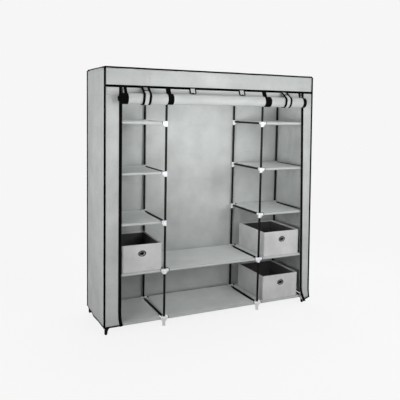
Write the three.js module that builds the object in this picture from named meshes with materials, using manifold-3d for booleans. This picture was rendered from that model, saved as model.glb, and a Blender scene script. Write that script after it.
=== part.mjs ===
// Portable fabric wardrobe: black tube frame with white push-fit connectors, grey cloth shelves,
// three open cloth drawers, and a sewn cloth cover whose front door is rolled up and strapped.
// Millimetres, +Z up. X runs along the width, -Y is the front.

import * as THREE from 'three';
import { mergeVertices } from 'three/addons/utils/BufferGeometryUtils.js';
import Module from 'manifold-3d';

const wasm = await Module();
wasm.setup();

// Frame sizes
const SIDE_BAY = 411;
const MIDDLE_BAY = 752;
const FRAME_DEPTH = 423;
const FIRST_LEVEL = 55;
const LEVEL_STEP = 336.5;
const LEVEL_COUNT = 6;
const MIDDLE_TUBE_LEVELS = [1, 2, LEVEL_COUNT];
const MIDDLE_SHELF_LEVELS = [1, 2];

// Clearances between pieces that touch
const SEAT_GAP = 0.3;
const BORE_GAP = 0.3;
const CUT_OVERRUN = 2;

// Tubes and push-fit connectors
const TUBE_RADIUS = 8;
const TUBE_WALL = 0.6;
const SOCKET_SIDES = 8;
const SOCKET_WALL = 2.7;
const SOCKET_ABOVE = 11.5;
const SOCKET_BELOW = 26;
const ARM_WALL = 1.8;
const ARM_REACH = 28;
const ARM_FLOOR = 12;
const GUSSET_THICKNESS = 5;
const GUSSET_INSET = 2;
const CAP_THICKNESS = 5;

// Feet under the lowest connectors
const FOOT_BORE_FLOOR = 20;
const FOOT_TOP_BELOW_LEVEL = 10;
const FOOT_END_RADIUS = 9.5;
const SOLE_RADIUS = 11;
const SOLE_HEIGHT = 4;

// Hanging rail under the top of the middle bay
const RAIL_DROP = 45;
const RAIL_COLLAR_WALL = 3;
const RAIL_COLLAR_LENGTH = 22;
const RAIL_NECK_THICKNESS = 8;
const RAIL_CUP_LENGTH = 18;

// Cloth shelves with a sleeve round each width tube
const SHELF_THICKNESS = 1.2;
const SHELF_END_GAP = 5;
const SHELF_SAG = 4;
const SHELF_SAG_STEPS = 6;

// Drawers
const LEFT_DRAWER_WIDTH = 286;
const RIGHT_DRAWER_WIDTH = 312;
const DRAWER_DEPTH = 385;
const DRAWER_HEIGHT = 186;
const DRAWER_WALL = 2.5;
const DRAWER_FLOOR = 3;
const DRAWER_CORNER = 9;
const DRAWER_CORNER_STEPS = 3;
const DRAWER_LEAD = 2;
const DRAWER_ZIP_GAP = 3;
const UPPER_DRAWER_LEVEL = 2;
const LOWER_DRAWER_LEVEL = 1;
const EYELET_HEIGHT = 124;
const EYELET_HALF_WIDTH = 18;
const EYELET_HALF_HEIGHT = 10.5;
const EYELET_FLANGE = 7;
const EYELET_PROUD = 1.6;
const EYELET_SIDES = 16;

// Sewn cover
const COVER_THICKNESS = 1;
const COVER_CLEARANCE = 0.5;
const HEM_HEIGHT = 50;
const VALANCE_DEPTH = 116;
const STRIP_LEFT_WIDTH = 113;
const STRIP_RIGHT_TOP_WIDTH = 97;
const STRIP_RIGHT_HEM_WIDTH = 45;
const CORNER_FLARE = 28;
const ROOF_SAG = 2.5;
const ROOF_COLUMNS = 12;
const ROOF_ROWS = 4;

// Folds of the hanging cloth
const FOLD_DEPTH = 6;
const HEM_FLARE = 7;
const TOP_FOLD_SHARE = 0.35;
const SIDE_FOLDS = 2.5;
const SIDE_COLUMNS = 10;
const SIDE_ROWS = 7;
const BACK_FOLDS = 6.5;
const BACK_COLUMNS = 30;
const BACK_ROWS = 6;
const FOLD_SWAY_SHARE = 0.35;
const FOLD_SWAY_TURNS = 0.48;
const EDGE_FADE_POWER = 0.7;
const SEAM_FADE_SHARE = 0.25;
const STRIP_FOLD_DEPTH = 4;
const STRIP_COLUMNS = 6;
const STRIP_ROWS = 8;

// Door rolled up below the valance
const ROLL_RADIUS = 36.5;
const ROLL_PITCH = 4.2;
const ROLL_CLOTH = 3;
const ROLL_TURNS = 8;
const ROLL_STEPS_PER_TURN = 12;
const ROLL_LEFT_INSET = 88;
const ROLL_RIGHT_INSET = 107;
const ROLL_STANDOFF = 17.5;
const ROLL_DROP = 74.5;
const WEB_START_ANGLE = Math.PI * 0.2;
const WEB_THICKNESS = 1;
const WEB_INSET = 8;
const WEB_STEPS = 4;
const WEB_CURVE_POWER = 1.5;

// Straps round the roll, and the two loose ties beside them
const STRAP_WIDTH = 50;
const STRAP_THICKNESS = 1.2;
const STRAP_CLEARANCE = 0.5;
const STRAP_STEPS = 18;
const STRAP_OVERLAP = 6;
const STRAP_OUTSIDE_POST = { left: 158, right: 170 };
const STRAP_HANG = 30;
const TIE_INSIDE_POST = { left: 181, right: 188 };
const TIE_WIDTH = 48;
const TIE_LENGTH = 40;
const TIE_THICKNESS = 2;
const TIE_CORNER = 16;
const TIE_CORNER_STEPS = 5;
const TIE_SLOPE = Math.PI * 0.13;

// Zip sliders and their pulls
const SLIDER_WIDTH = 12;
const SLIDER_HEIGHT = 14;
const SLIDER_PLATE = 2;
const SLIDER_BACK_PLATE = 1;
const SLIDER_BELOW_VALANCE = 20;
const LUG_THICKNESS = 1.4;
const LUG_SPREAD = 5.6;
const LUG_HEIGHT = 4;
const PIN_RADIUS = 0.8;
const PIN_STANDOFF = 2.8;
const PULL_EYE_RADIUS = 2.2;
const PULL_HOLE_RADIUS = 1.2;
const PULL_WIDTH = 4;
const PULL_LENGTH = 22;
const PULL_THICKNESS = 1.4;
const PULL_PAD_WIDTH = 7;
const PIN_SIDES = 10;

// Finishes
const FINISHES = {
  cover: { color: 0xb9bdbc, roughness: 0.92, metalness: 0 },
  shelf: { color: 0xaeb3b1, roughness: 0.92, metalness: 0 },
  drawer: { color: 0xb4b8b7, roughness: 0.9, metalness: 0 },
  tube: { color: 0x191b1d, roughness: 0.42, metalness: 0.5 },
  connector: { color: 0xe9ecf1, roughness: 0.38, metalness: 0 },
  zip: { color: 0x1a1b1d, roughness: 0.45, metalness: 0.4 },
};

// Places worked out from the sizes above
const INNER_POST_X = MIDDLE_BAY / 2;
const OUTER_POST_X = INNER_POST_X + SIDE_BAY;
const SOCKET_FLAT = TUBE_RADIUS + BORE_GAP + SOCKET_WALL;
const ARM_FLAT = TUBE_RADIUS + ARM_WALL;
const BORE_FLAT = TUBE_RADIUS + BORE_GAP;
const TOP_LEVEL_Z = levelHeight(LEVEL_COUNT);
const COVER_INNER_X = OUTER_POST_X + SOCKET_FLAT + COVER_CLEARANCE;
const COVER_OUTER_X = COVER_INNER_X + COVER_THICKNESS;
const COVER_INNER_FRONT = -(SOCKET_FLAT + COVER_CLEARANCE);
const COVER_OUTER_FRONT = COVER_INNER_FRONT - COVER_THICKNESS;
const COVER_INNER_BACK = FRAME_DEPTH + SOCKET_FLAT + COVER_CLEARANCE;
const COVER_OUTER_BACK = COVER_INNER_BACK + COVER_THICKNESS;
const ROOF_Z = TOP_LEVEL_Z + SOCKET_ABOVE + SEAT_GAP;
const WALL_TOP_Z = ROOF_Z - SEAT_GAP;
const VALANCE_BOTTOM_Z = WALL_TOP_Z - VALANCE_DEPTH;
const SEAM_Z = VALANCE_BOTTOM_Z - SEAT_GAP;
const STRIP_LEFT_EDGE = -COVER_OUTER_X + STRIP_LEFT_WIDTH;
const STRIP_HEIGHT = SEAM_Z - HEM_HEIGHT;
const STRIP_RIGHT_EDGE = COVER_OUTER_X - STRIP_RIGHT_TOP_WIDTH;
const STRIP_RIGHT_HEM_EDGE = COVER_OUTER_X - STRIP_RIGHT_HEM_WIDTH;
const STRIP_RIGHT_LEAN = STRIP_RIGHT_EDGE - STRIP_RIGHT_HEM_EDGE;
const ROLL_Y = COVER_OUTER_FRONT - ROLL_STANDOFF - ROLL_RADIUS;
const ROLL_Z = VALANCE_BOTTOM_Z - ROLL_DROP;

function levelHeight(level) {
  return FIRST_LEVEL + (level - 1) * LEVEL_STEP;
}

// The right strip narrows towards the hem, so its zipped edge leans outward
function rightStripEdge(z) {
  return STRIP_RIGHT_HEM_EDGE + (STRIP_RIGHT_LEAN * (z - HEM_HEIGHT)) / STRIP_HEIGHT;
}

// How far the front right corner of the cover stands out at a height, 0 at the roof
function cornerFlare(z) {
  return (CORNER_FLARE * (WALL_TOP_Z - z)) / (WALL_TOP_Z - HEM_HEIGHT);
}

// Turning geometry into solids that can be joined and cut, and back again

function toSolid(geometry) {
  const bare = geometry.clone();
  bare.deleteAttribute('normal');
  bare.deleteAttribute('uv');
  const merged = mergeVertices(bare);
  return new wasm.Manifold(new wasm.Mesh({
    numProp: 3,
    vertProperties: new Float32Array(merged.attributes.position.array),
    triVerts: new Uint32Array(merged.index.array),
  }));
}

function toGeometry(solid) {
  const mesh = solid.getMesh();
  const geometry = new THREE.BufferGeometry();
  geometry.setAttribute('position', new THREE.BufferAttribute(mesh.vertProperties, mesh.numProp));
  geometry.setIndex(new THREE.BufferAttribute(mesh.triVerts, 1));
  geometry.computeVertexNormals();
  return geometry;
}

function joined(solids) {
  return solids.reduce((whole, solid) => whole.add(solid));
}

// A bar of regular section, given by its corner radius, centred on the origin along one axis
function bar(axis, cornerRadius, length, sides) {
  const geometry = new THREE.CylinderGeometry(cornerRadius, cornerRadius, length, sides);
  geometry.rotateY(Math.PI / sides);
  if (axis === 'x') geometry.rotateZ(Math.PI / 2);
  if (axis === 'z') geometry.rotateX(Math.PI / 2);
  return geometry;
}

// The same bar, given by the distance from its axis to its flats
function flatBar(axis, flatRadius, length, sides) {
  return bar(axis, flatRadius / Math.cos(Math.PI / sides), length, sides);
}

function solidBox(low, high) {
  const size = high.map((value, i) => value - low[i]);
  const middle = high.map((value, i) => (value + low[i]) / 2);
  return toSolid(new THREE.BoxGeometry(...size).translate(...middle));
}

// Extrudes an outline drawn in (Y, Z) along X, from one X to another
function extrudeAlongX(points, fromX, toX) {
  const shape = new THREE.Shape(points.map(([y, z]) => new THREE.Vector2(y, z)));
  const geometry = new THREE.ExtrudeGeometry(shape, { depth: toX - fromX, bevelEnabled: false });
  geometry.applyMatrix4(new THREE.Matrix4().set(0, 0, 1, fromX, 1, 0, 0, 0, 0, 1, 0, 0, 0, 0, 0, 1));
  return geometry;
}

// The closed outline of a strip of cloth of even thickness along a path in (Y, Z)
function ribbonOutline(path, thickness) {
  const sides = [[], []];
  path.forEach(([y, z], i) => {
    const [beforeY, beforeZ] = path[Math.max(i - 1, 0)];
    const [afterY, afterZ] = path[Math.min(i + 1, path.length - 1)];
    const along = Math.hypot(afterY - beforeY, afterZ - beforeZ);
    const normalY = -(afterZ - beforeZ) / along;
    const normalZ = (afterY - beforeY) / along;
    const half = thickness / 2;
    sides[0].push([y + normalY * half, z + normalZ * half]);
    sides[1].push([y - normalY * half, z - normalZ * half]);
  });
  return [...sides[0], ...sides[1].reverse()];
}

// A sheet of cloth as a closed slab. It spans width and height in its own X and Z, its inner face
// lies at Y = 0 where bulge is 0, bulge(u, v) pushes it outward along -Y, and skew(u, v) along X.
function clothSheet({ width, height, thickness, columns, rows, bulge, skew = () => 0 }) {
  const positions = [];
  const index = [];
  const perSide = (columns + 1) * (rows + 1);
  const at = (side, i, j) => side * perSide + j * (columns + 1) + i;
  for (const side of [0, 1]) {
    for (let j = 0; j <= rows; j += 1) {
      for (let i = 0; i <= columns; i += 1) {
        const u = i / columns;
        const v = j / rows;
        const x = u * width + skew(u, v);
        positions.push(x, -bulge(u, v) - side * thickness, v * height);
      }
    }
  }
  const quad = (a, b, c, d) => index.push(a, b, c, a, c, d);
  for (let j = 0; j < rows; j += 1) {
    for (let i = 0; i < columns; i += 1) {
      quad(at(1, i, j), at(1, i + 1, j), at(1, i + 1, j + 1), at(1, i, j + 1));
      quad(at(0, i, j), at(0, i, j + 1), at(0, i + 1, j + 1), at(0, i + 1, j));
    }
  }
  for (let i = 0; i < columns; i += 1) {
    quad(at(0, i, 0), at(0, i + 1, 0), at(1, i + 1, 0), at(1, i, 0));
    quad(at(1, i, rows), at(1, i + 1, rows), at(0, i + 1, rows), at(0, i, rows));
  }
  for (let j = 0; j < rows; j += 1) {
    quad(at(0, 0, j), at(1, 0, j), at(1, 0, j + 1), at(0, 0, j + 1));
    quad(at(1, columns, j), at(0, columns, j), at(0, columns, j + 1), at(1, columns, j + 1));
  }
  const geometry = new THREE.BufferGeometry();
  geometry.setAttribute('position', new THREE.Float32BufferAttribute(positions, 3));
  geometry.setIndex(index);
  geometry.computeVertexNormals();
  return geometry;
}

// Folds that hang from the top seam, die out at the sewn edges and deepen towards the hem
function hangingFolds(count, depth, flare) {
  return (u, v) => {
    const edge = Math.abs(Math.sin(Math.PI * u)) ** EDGE_FADE_POWER;
    const fall = 1 - v;
    const sway = FOLD_SWAY_SHARE * Math.sin(2 * Math.PI * FOLD_SWAY_TURNS * v);
    const wave = (1 + Math.sin(2 * Math.PI * (count * u + sway))) / 2;
    const deepening = TOP_FOLD_SHARE + (1 - TOP_FOLD_SHARE) * fall;
    const seam = Math.min(1, fall / SEAM_FADE_SHARE);
    return seam * edge * (depth * wave * deepening + flare * fall ** 2);
  };
}

// Long shallow fold of a front strip. The last column of cloth, beside the zip at u = 1, stays flat.
function stripFold(u, v) {
  const share = Math.min(1, u / (1 - 1 / STRIP_COLUMNS));
  return STRIP_FOLD_DEPTH * Math.sin(Math.PI * share) ** 2 * Math.sin(Math.PI * v) ** 2;
}

// How far a point of the roof lies into its bay: 0 over the posts, 1 in the middle of each bay
function roofBayShare(u) {
  const edge = SIDE_BAY / (2 * COVER_OUTER_X);
  if (u < edge) return Math.sin((Math.PI * u) / edge);
  if (u > 1 - edge) return Math.sin((Math.PI * (1 - u)) / edge);
  return Math.sin((Math.PI * (u - edge)) / (1 - 2 * edge));
}

// Frame: four connectors with their width and depth tubes, one set for each level of a side column

function connectorSolid(arms, level) {
  const height = SOCKET_ABOVE + SOCKET_BELOW;
  const socket = flatBar('z', SOCKET_FLAT, height, SOCKET_SIDES);
  const pieces = [toSolid(socket.translate(0, 0, SOCKET_ABOVE - height / 2))];
  if (level === 1) pieces.push(footSolid());
  for (const [axis, sign] of arms) {
    const middle = (sign * ARM_REACH) / 2;
    const offset = axis === 'x' ? [middle, 0, 0] : [0, middle, 0];
    pieces.push(toSolid(flatBar(axis, ARM_FLAT, ARM_REACH, SOCKET_SIDES).translate(...offset)));
    pieces.push(gussetSolid(axis, sign));
  }
  return joined(pieces);
}

// Triangular web from the end of an arm down to the lower end of the upright socket
function gussetSolid(axis, sign) {
  const shape = new THREE.Shape([
    new THREE.Vector2(0, 0),
    new THREE.Vector2(0, -SOCKET_BELOW),
    new THREE.Vector2(SOCKET_FLAT, -SOCKET_BELOW),
    new THREE.Vector2(ARM_REACH - GUSSET_INSET, -ARM_FLAT + GUSSET_INSET),
    new THREE.Vector2(ARM_REACH - GUSSET_INSET, 0),
  ]);
  const plate = new THREE.ExtrudeGeometry(shape, { depth: GUSSET_THICKNESS, bevelEnabled: false });
  plate.translate(0, 0, -GUSSET_THICKNESS / 2);
  plate.rotateX(Math.PI / 2);
  const [alongX, alongY] = axis === 'x' ? [sign, 0] : [0, sign];
  plate.rotateZ(Math.atan2(alongY, alongX));
  return toSolid(plate);
}

// Tapered foot with a small round sole, reaching from the lowest level to the floor
function footSolid() {
  const top = -FOOT_TOP_BELOW_LEVEL;
  const height = FIRST_LEVEL - FOOT_TOP_BELOW_LEVEL;
  const topRadius = SOCKET_FLAT / Math.cos(Math.PI / SOCKET_SIDES);
  const cone = new THREE.CylinderGeometry(topRadius, FOOT_END_RADIUS, height, SOCKET_SIDES);
  cone.rotateY(Math.PI / SOCKET_SIDES);
  cone.rotateX(Math.PI / 2);
  cone.translate(0, 0, top - height / 2);
  const sole = bar('z', SOLE_RADIUS, SOLE_HEIGHT, SOCKET_SIDES);
  sole.translate(0, 0, -FIRST_LEVEL + SOLE_HEIGHT / 2);
  return toSolid(cone).add(toSolid(sole));
}

// Bore for the post, closed at the foot and under the cap of the top connector
function postBore(level) {
  const low = level === 1 ? FOOT_BORE_FLOOR - FIRST_LEVEL : -SOCKET_BELOW - CUT_OVERRUN;
  const high = level === LEVEL_COUNT ? SOCKET_ABOVE - CAP_THICKNESS : SOCKET_ABOVE + CUT_OVERRUN;
  const bore = flatBar('z', BORE_FLAT, high - low, SOCKET_SIDES);
  return toSolid(bore.translate(0, 0, (high + low) / 2));
}

// Local origin: the axis of one front post at this level. inward is the X direction from it to the
// other post, and on to the middle bay where a tube crosses that.
function levelFrame(level, inward) {
  const hasMiddleTube = MIDDLE_TUBE_LEVELS.includes(level);
  const innerX = inward * SIDE_BAY;
  const solids = [];
  const cuts = [];
  for (const [y, depthSign] of [[0, 1], [FRAME_DEPTH, -1]]) {
    for (const [x, towardBay] of [[0, inward], [innerX, -inward]]) {
      const arms = [['x', towardBay], ['y', depthSign]];
      if (hasMiddleTube && x !== 0) arms.push(['x', inward]);
      solids.push(connectorSolid(arms, level).translate([x, y, 0]));
      cuts.push(postBore(level).translate([x, y, 0]));
    }
    const widthTube = flatBar('x', TUBE_RADIUS, SIDE_BAY, SOCKET_SIDES);
    solids.push(toSolid(widthTube.translate(innerX / 2, y, 0)));
    if (hasMiddleTube) {
      const depth = ARM_REACH - ARM_FLOOR + CUT_OVERRUN;
      const cup = flatBar('x', BORE_FLAT, depth, SOCKET_SIDES);
      cuts.push(toSolid(cup.translate(innerX + inward * (ARM_FLOOR + depth / 2), y, 0)));
    }
  }
  for (const x of [0, innerX]) {
    const depthTube = flatBar('y', TUBE_RADIUS, FRAME_DEPTH, SOCKET_SIDES);
    solids.push(toSolid(depthTube.translate(x, FRAME_DEPTH / 2, 0)));
  }
  return toGeometry(cuts.reduce((whole, cut) => whole.subtract(cut), joined(solids)));
}

// The hollow of a tube of this length, centred on the origin
function tubeHollow(axis, length) {
  return flatBar(axis, TUBE_RADIUS - TUBE_WALL, length + 2 * CUT_OVERRUN, SOCKET_SIDES);
}

// A tube open at both ends, centred on the origin
function openTube(axis, length) {
  const outside = toSolid(flatBar(axis, TUBE_RADIUS, length, SOCKET_SIDES));
  return toGeometry(outside.subtract(toSolid(tubeHollow(axis, length))));
}

function post() {
  const low = FOOT_BORE_FLOOR + SEAT_GAP;
  const high = TOP_LEVEL_Z + SOCKET_ABOVE - CAP_THICKNESS - SEAT_GAP;
  return openTube('z', high - low).translate(0, 0, (high + low) / 2);
}

function middleTube() {
  return openTube('x', MIDDLE_BAY - 2 * (ARM_FLOOR + SEAT_GAP));
}

// Rail with a collar round the top depth tube at each end; local origin midway between the collars
function hangingRail() {
  const solids = [];
  const cuts = [];
  const collarFlat = BORE_FLAT + RAIL_COLLAR_WALL;
  const reach = INNER_POST_X;
  const cupFlat = TUBE_RADIUS + RAIL_COLLAR_WALL;
  const halfNeck = RAIL_NECK_THICKNESS / 2;
  const halfCollar = RAIL_COLLAR_LENGTH / 2;
  for (const sign of [-1, 1]) {
    const collar = flatBar('y', collarFlat, RAIL_COLLAR_LENGTH, SOCKET_SIDES);
    solids.push(toSolid(collar.translate(sign * reach, 0, 0)));
    const bore = flatBar('y', BORE_FLAT, RAIL_COLLAR_LENGTH + 2 * CUT_OVERRUN, SOCKET_SIDES);
    cuts.push(toSolid(bore.translate(sign * reach, 0, 0)));
    solids.push(solidBox(
      [sign * reach - halfNeck, -halfCollar, -RAIL_DROP],
      [sign * reach + halfNeck, halfCollar, -BORE_FLAT - CUT_OVERRUN / 2],
    ));
    const cup = flatBar('x', cupFlat, RAIL_CUP_LENGTH, SOCKET_SIDES);
    solids.push(toSolid(cup.translate(sign * (reach - RAIL_CUP_LENGTH / 2 + halfNeck), 0, -RAIL_DROP)));
  }
  const rail = flatBar('x', TUBE_RADIUS, 2 * reach, SOCKET_SIDES);
  solids.push(toSolid(rail.translate(0, 0, -RAIL_DROP)));
  cuts.push(toSolid(tubeHollow('x', 2 * (reach + halfNeck)).translate(0, 0, -RAIL_DROP)));
  return toGeometry(cuts.reduce((whole, cut) => whole.subtract(cut), joined(solids)));
}

// Cloth shelf: a sheet with a sleeve round its front and back tube. Local origin: the middle of the
// front tube.
function clothShelf(bay) {
  const half = bay / 2 - ARM_REACH - SHELF_END_GAP;
  const sleeves = [];
  const bores = [];
  for (const y of [0, FRAME_DEPTH]) {
    sleeves.push(toSolid(flatBar('x', ARM_FLAT, 2 * half, SOCKET_SIDES).translate(0, y, 0)));
    const bore = flatBar('x', BORE_FLAT, 2 * half + 2 * CUT_OVERRUN, SOCKET_SIDES);
    bores.push(toSolid(bore.translate(0, y, 0)));
  }
  const path = [];
  for (let step = 0; step <= SHELF_SAG_STEPS; step += 1) {
    const share = step / SHELF_SAG_STEPS;
    const sag = SHELF_SAG * Math.sin(Math.PI * share) ** 2;
    path.push([share * FRAME_DEPTH, ARM_FLAT - SHELF_THICKNESS / 2 - sag]);
  }
  const sheet = toSolid(extrudeAlongX(ribbonOutline(path, SHELF_THICKNESS), -half, half));
  const whole = joined([sheet, ...sleeves]);
  return toGeometry(bores.reduce((left, bore) => left.subtract(bore), whole));
}

// Drawers

function roundedOutline(halfWidth, halfDepth, radius) {
  const points = [];
  const corners = [[1, 1], [-1, 1], [-1, -1], [1, -1]];
  corners.forEach(([signX, signY], quarter) => {
    for (let step = 0; step <= DRAWER_CORNER_STEPS; step += 1) {
      const angle = (quarter + step / DRAWER_CORNER_STEPS) * (Math.PI / 2);
      points.push(new THREE.Vector2(
        signX * (halfWidth - radius) + radius * Math.cos(angle),
        signY * (halfDepth - radius) + radius * Math.sin(angle),
      ));
    }
  });
  return new THREE.Shape(points);
}

function uprightBlock(halfWidth, halfDepth, radius, fromZ, toZ) {
  const outline = roundedOutline(halfWidth, halfDepth, radius);
  const block = new THREE.ExtrudeGeometry(outline, { depth: toZ - fromZ, bevelEnabled: false });
  return toSolid(block.translate(0, 0, fromZ));
}

function ovalBar(halfWidth, halfHeight, length) {
  const oval = new THREE.CylinderGeometry(1, 1, length, EYELET_SIDES);
  return oval.scale(halfWidth, 1, halfHeight);
}

// Open box with an oval eyelet in its front. Local origin: the middle of its underside.
function drawer(width) {
  const halfWidth = width / 2;
  const halfDepth = DRAWER_DEPTH / 2;
  const outer = uprightBlock(halfWidth, halfDepth, DRAWER_CORNER, 0, DRAWER_HEIGHT);
  const inner = uprightBlock(
    halfWidth - DRAWER_WALL,
    halfDepth - DRAWER_WALL,
    DRAWER_CORNER - DRAWER_WALL,
    DRAWER_FLOOR,
    DRAWER_HEIGHT + CUT_OVERRUN,
  );
  const frontY = -halfDepth;
  const flangeLength = EYELET_PROUD + DRAWER_WALL;
  const flange = ovalBar(
    EYELET_HALF_WIDTH + EYELET_FLANGE,
    EYELET_HALF_HEIGHT + EYELET_FLANGE,
    flangeLength,
  );
  flange.translate(0, frontY - EYELET_PROUD + flangeLength / 2, EYELET_HEIGHT);
  const holeLength = flangeLength + 2 * CUT_OVERRUN;
  const hole = ovalBar(EYELET_HALF_WIDTH, EYELET_HALF_HEIGHT, holeLength);
  hole.translate(0, frontY - EYELET_PROUD + flangeLength / 2, EYELET_HEIGHT);
  return toGeometry(outer.subtract(inner).add(toSolid(flange)).subtract(toSolid(hole)));
}

// Door roll: the cloth wound in a spiral, its outer end at the upper back where the web joins it
function doorRoll() {
  const steps = ROLL_TURNS * ROLL_STEPS_PER_TURN;
  const outer = [];
  const inner = [];
  for (let step = 0; step <= steps; step += 1) {
    const turn = step / ROLL_STEPS_PER_TURN;
    const angle = WEB_START_ANGLE - turn * 2 * Math.PI;
    const radius = ROLL_RADIUS - turn * ROLL_PITCH;
    outer.push([radius * Math.cos(angle), radius * Math.sin(angle)]);
    inner.push([(radius - ROLL_CLOTH) * Math.cos(angle), (radius - ROLL_CLOTH) * Math.sin(angle)]);
  }
  const leftX = -COVER_OUTER_X + ROLL_LEFT_INSET;
  const rightX = COVER_OUTER_X - ROLL_RIGHT_INSET;
  console.log(`least gap between turns of the roll: ${leastGap(outer, inner).toFixed(2)} mm`);
  return extrudeAlongX([...outer, ...inner.reverse()], leftX, rightX);
}

// The least distance between the inner face of one turn and the outer face of the next
function leastGap(outer, inner) {
  let least = Infinity;
  for (let step = 0; step + ROLL_STEPS_PER_TURN < outer.length; step += 1) {
    const [y, z] = inner[step];
    const [nextY, nextZ] = outer[step + ROLL_STEPS_PER_TURN];
    least = Math.min(least, Math.hypot(y - nextY, z - nextZ));
  }
  return least;
}

// Points on a circle round the roll, from one angle to another
function aroundRoll(radius, fromAngle, toAngle, steps) {
  const points = [];
  for (let step = 0; step <= steps; step += 1) {
    const angle = fromAngle + ((toAngle - fromAngle) * step) / steps;
    points.push([ROLL_Y + radius * Math.cos(angle), ROLL_Z + radius * Math.sin(angle)]);
  }
  return points;
}

// The short stretch of door cloth between the valance seam and the roll
function doorWeb() {
  const seamY = COVER_OUTER_FRONT + COVER_THICKNESS / 2;
  const touch = ROLL_RADIUS + SEAT_GAP + WEB_THICKNESS / 2;
  const [endY, endZ] = aroundRoll(touch, WEB_START_ANGLE, WEB_START_ANGLE, 1)[0];
  const path = [];
  for (let step = 0; step <= WEB_STEPS; step += 1) {
    const share = step / WEB_STEPS;
    path.push([seamY + (endY - seamY) * share ** WEB_CURVE_POWER, SEAM_Z + (endZ - SEAM_Z) * share]);
  }
  const outline = ribbonOutline(path, WEB_THICKNESS);
  return extrudeAlongX(outline, STRIP_LEFT_EDGE + WEB_INSET, STRIP_RIGHT_EDGE - WEB_INSET);
}

// The angle at which a straight line from a point touches a circle round the roll
function tangentAngle(y, z, radius, side) {
  const awayY = y - ROLL_Y;
  const awayZ = z - ROLL_Z;
  return Math.atan2(awayZ, awayY) + side * Math.acos(radius / Math.hypot(awayY, awayZ));
}

// A strap that leaves the valance behind the web, passes under the roll and comes up its front
function doorStrap() {
  const radius = ROLL_RADIUS + STRAP_CLEARANCE + STRAP_THICKNESS / 2;
  const backY = COVER_INNER_FRONT + STRAP_CLEARANCE + STRAP_THICKNESS / 2;
  const backZ = SEAM_Z - STRAP_HANG;
  const frontY = COVER_OUTER_FRONT - STRAP_CLEARANCE - STRAP_THICKNESS / 2;
  const frontZ = VALANCE_BOTTOM_Z + STRAP_OVERLAP;
  const backAngle = tangentAngle(backY, backZ, radius, -1);
  const frontAngle = tangentAngle(frontY, frontZ, radius, 1);
  const path = [
    [backY, SEAM_Z],
    [backY, backZ],
    ...aroundRoll(radius, backAngle, frontAngle - 2 * Math.PI, STRAP_STEPS),
    [frontY, frontZ],
    [frontY, frontZ + STRAP_OVERLAP],
  ];
  return extrudeAlongX(ribbonOutline(path, STRAP_THICKNESS), -STRAP_WIDTH / 2, STRAP_WIDTH / 2);
}

// A loose tie: a cloth tab with a rounded end. Local origin: the middle of its sewn top edge.
function doorTie() {
  const half = TIE_WIDTH / 2;
  const points = [new THREE.Vector2(half, 0), new THREE.Vector2(-half, 0)];
  for (const [sign, quarter] of [[-1, 2], [1, 3]]) {
    for (let step = 0; step <= TIE_CORNER_STEPS; step += 1) {
      const angle = (quarter + step / TIE_CORNER_STEPS) * (Math.PI / 2);
      points.push(new THREE.Vector2(
        sign * (half - TIE_CORNER) + TIE_CORNER * Math.cos(angle),
        -TIE_LENGTH + TIE_CORNER + TIE_CORNER * Math.sin(angle),
      ));
    }
  }
  const tab = new THREE.ExtrudeGeometry(new THREE.Shape(points), {
    depth: TIE_THICKNESS,
    bevelEnabled: false,
  });
  return tab.rotateX(Math.PI / 2);
}

// Zip slider: two plates joined by a bridge, with two lugs and a pin for the pull. The cloth edge
// enters from the side that inward points away from. Local origin: the cloth edge, at the cover's
// outer face.
function zipSlider(inward) {
  const halfWidth = SLIDER_WIDTH / 2;
  const halfHeight = SLIDER_HEIGHT / 2;
  const front = -SEAT_GAP - SLIDER_PLATE;
  const back = COVER_THICKNESS + SEAT_GAP + SLIDER_BACK_PLATE;
  const body = solidBox([-halfWidth, front, -halfHeight], [halfWidth, back, halfHeight]);
  const slotEnds = [-inward * (halfWidth + CUT_OVERRUN), inward * SEAT_GAP];
  const slot = solidBox(
    [Math.min(...slotEnds), -SEAT_GAP, -halfHeight - CUT_OVERRUN],
    [Math.max(...slotEnds), COVER_THICKNESS + SEAT_GAP, halfHeight + CUT_OVERRUN],
  );
  const pinY = front - PIN_STANDOFF;
  const solids = [body.subtract(slot)];
  for (const sign of [-1, 1]) {
    const near = (sign * LUG_SPREAD) / 2;
    const far = near + sign * LUG_THICKNESS;
    solids.push(solidBox(
      [Math.min(near, far), pinY - PIN_RADIUS * 2, -LUG_HEIGHT / 2],
      [Math.max(near, far), front + SLIDER_PLATE / 2, LUG_HEIGHT / 2],
    ));
  }
  const pin = bar('x', PIN_RADIUS, LUG_SPREAD + LUG_THICKNESS, PIN_SIDES);
  solids.push(toSolid(pin.translate(0, pinY, 0)));
  return toGeometry(joined(solids));
}

// Zip pull: an eye round the slider's pin and a flat tongue that widens to a pad. Local origin: the
// pin's axis.
function zipPull() {
  const eye = bar('x', PULL_EYE_RADIUS, PULL_WIDTH, PIN_SIDES);
  const hole = bar('x', PULL_HOLE_RADIUS, PULL_WIDTH + 2 * CUT_OVERRUN, PIN_SIDES);
  const halfThick = PULL_THICKNESS / 2;
  const halfPad = PULL_PAD_WIDTH / 2;
  const tongue = solidBox(
    [-PULL_WIDTH / 2, -halfThick, -PULL_LENGTH / 2 - PULL_EYE_RADIUS],
    [PULL_WIDTH / 2, halfThick, 0],
  );
  const pad = solidBox(
    [-halfPad, -halfThick, -PULL_LENGTH],
    [halfPad, halfThick, -PULL_LENGTH / 2],
  );
  return toGeometry(toSolid(eye).add(tongue).add(pad).subtract(toSolid(hole)));
}

// Assembly

const wardrobe = new THREE.Group();
const assembly = new THREE.Group();
wardrobe.add(assembly);

const materials = Object.fromEntries(Object.entries(FINISHES).map(([name, finish]) => [
  name,
  new THREE.MeshStandardMaterial(finish),
]));

function addPiece(name, geometry, finish, position = [0, 0, 0], parent = assembly) {
  const mesh = new THREE.Mesh(geometry, materials[finish]);
  mesh.name = name;
  mesh.position.set(...position);
  parent.add(mesh);
  return mesh;
}

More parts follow.
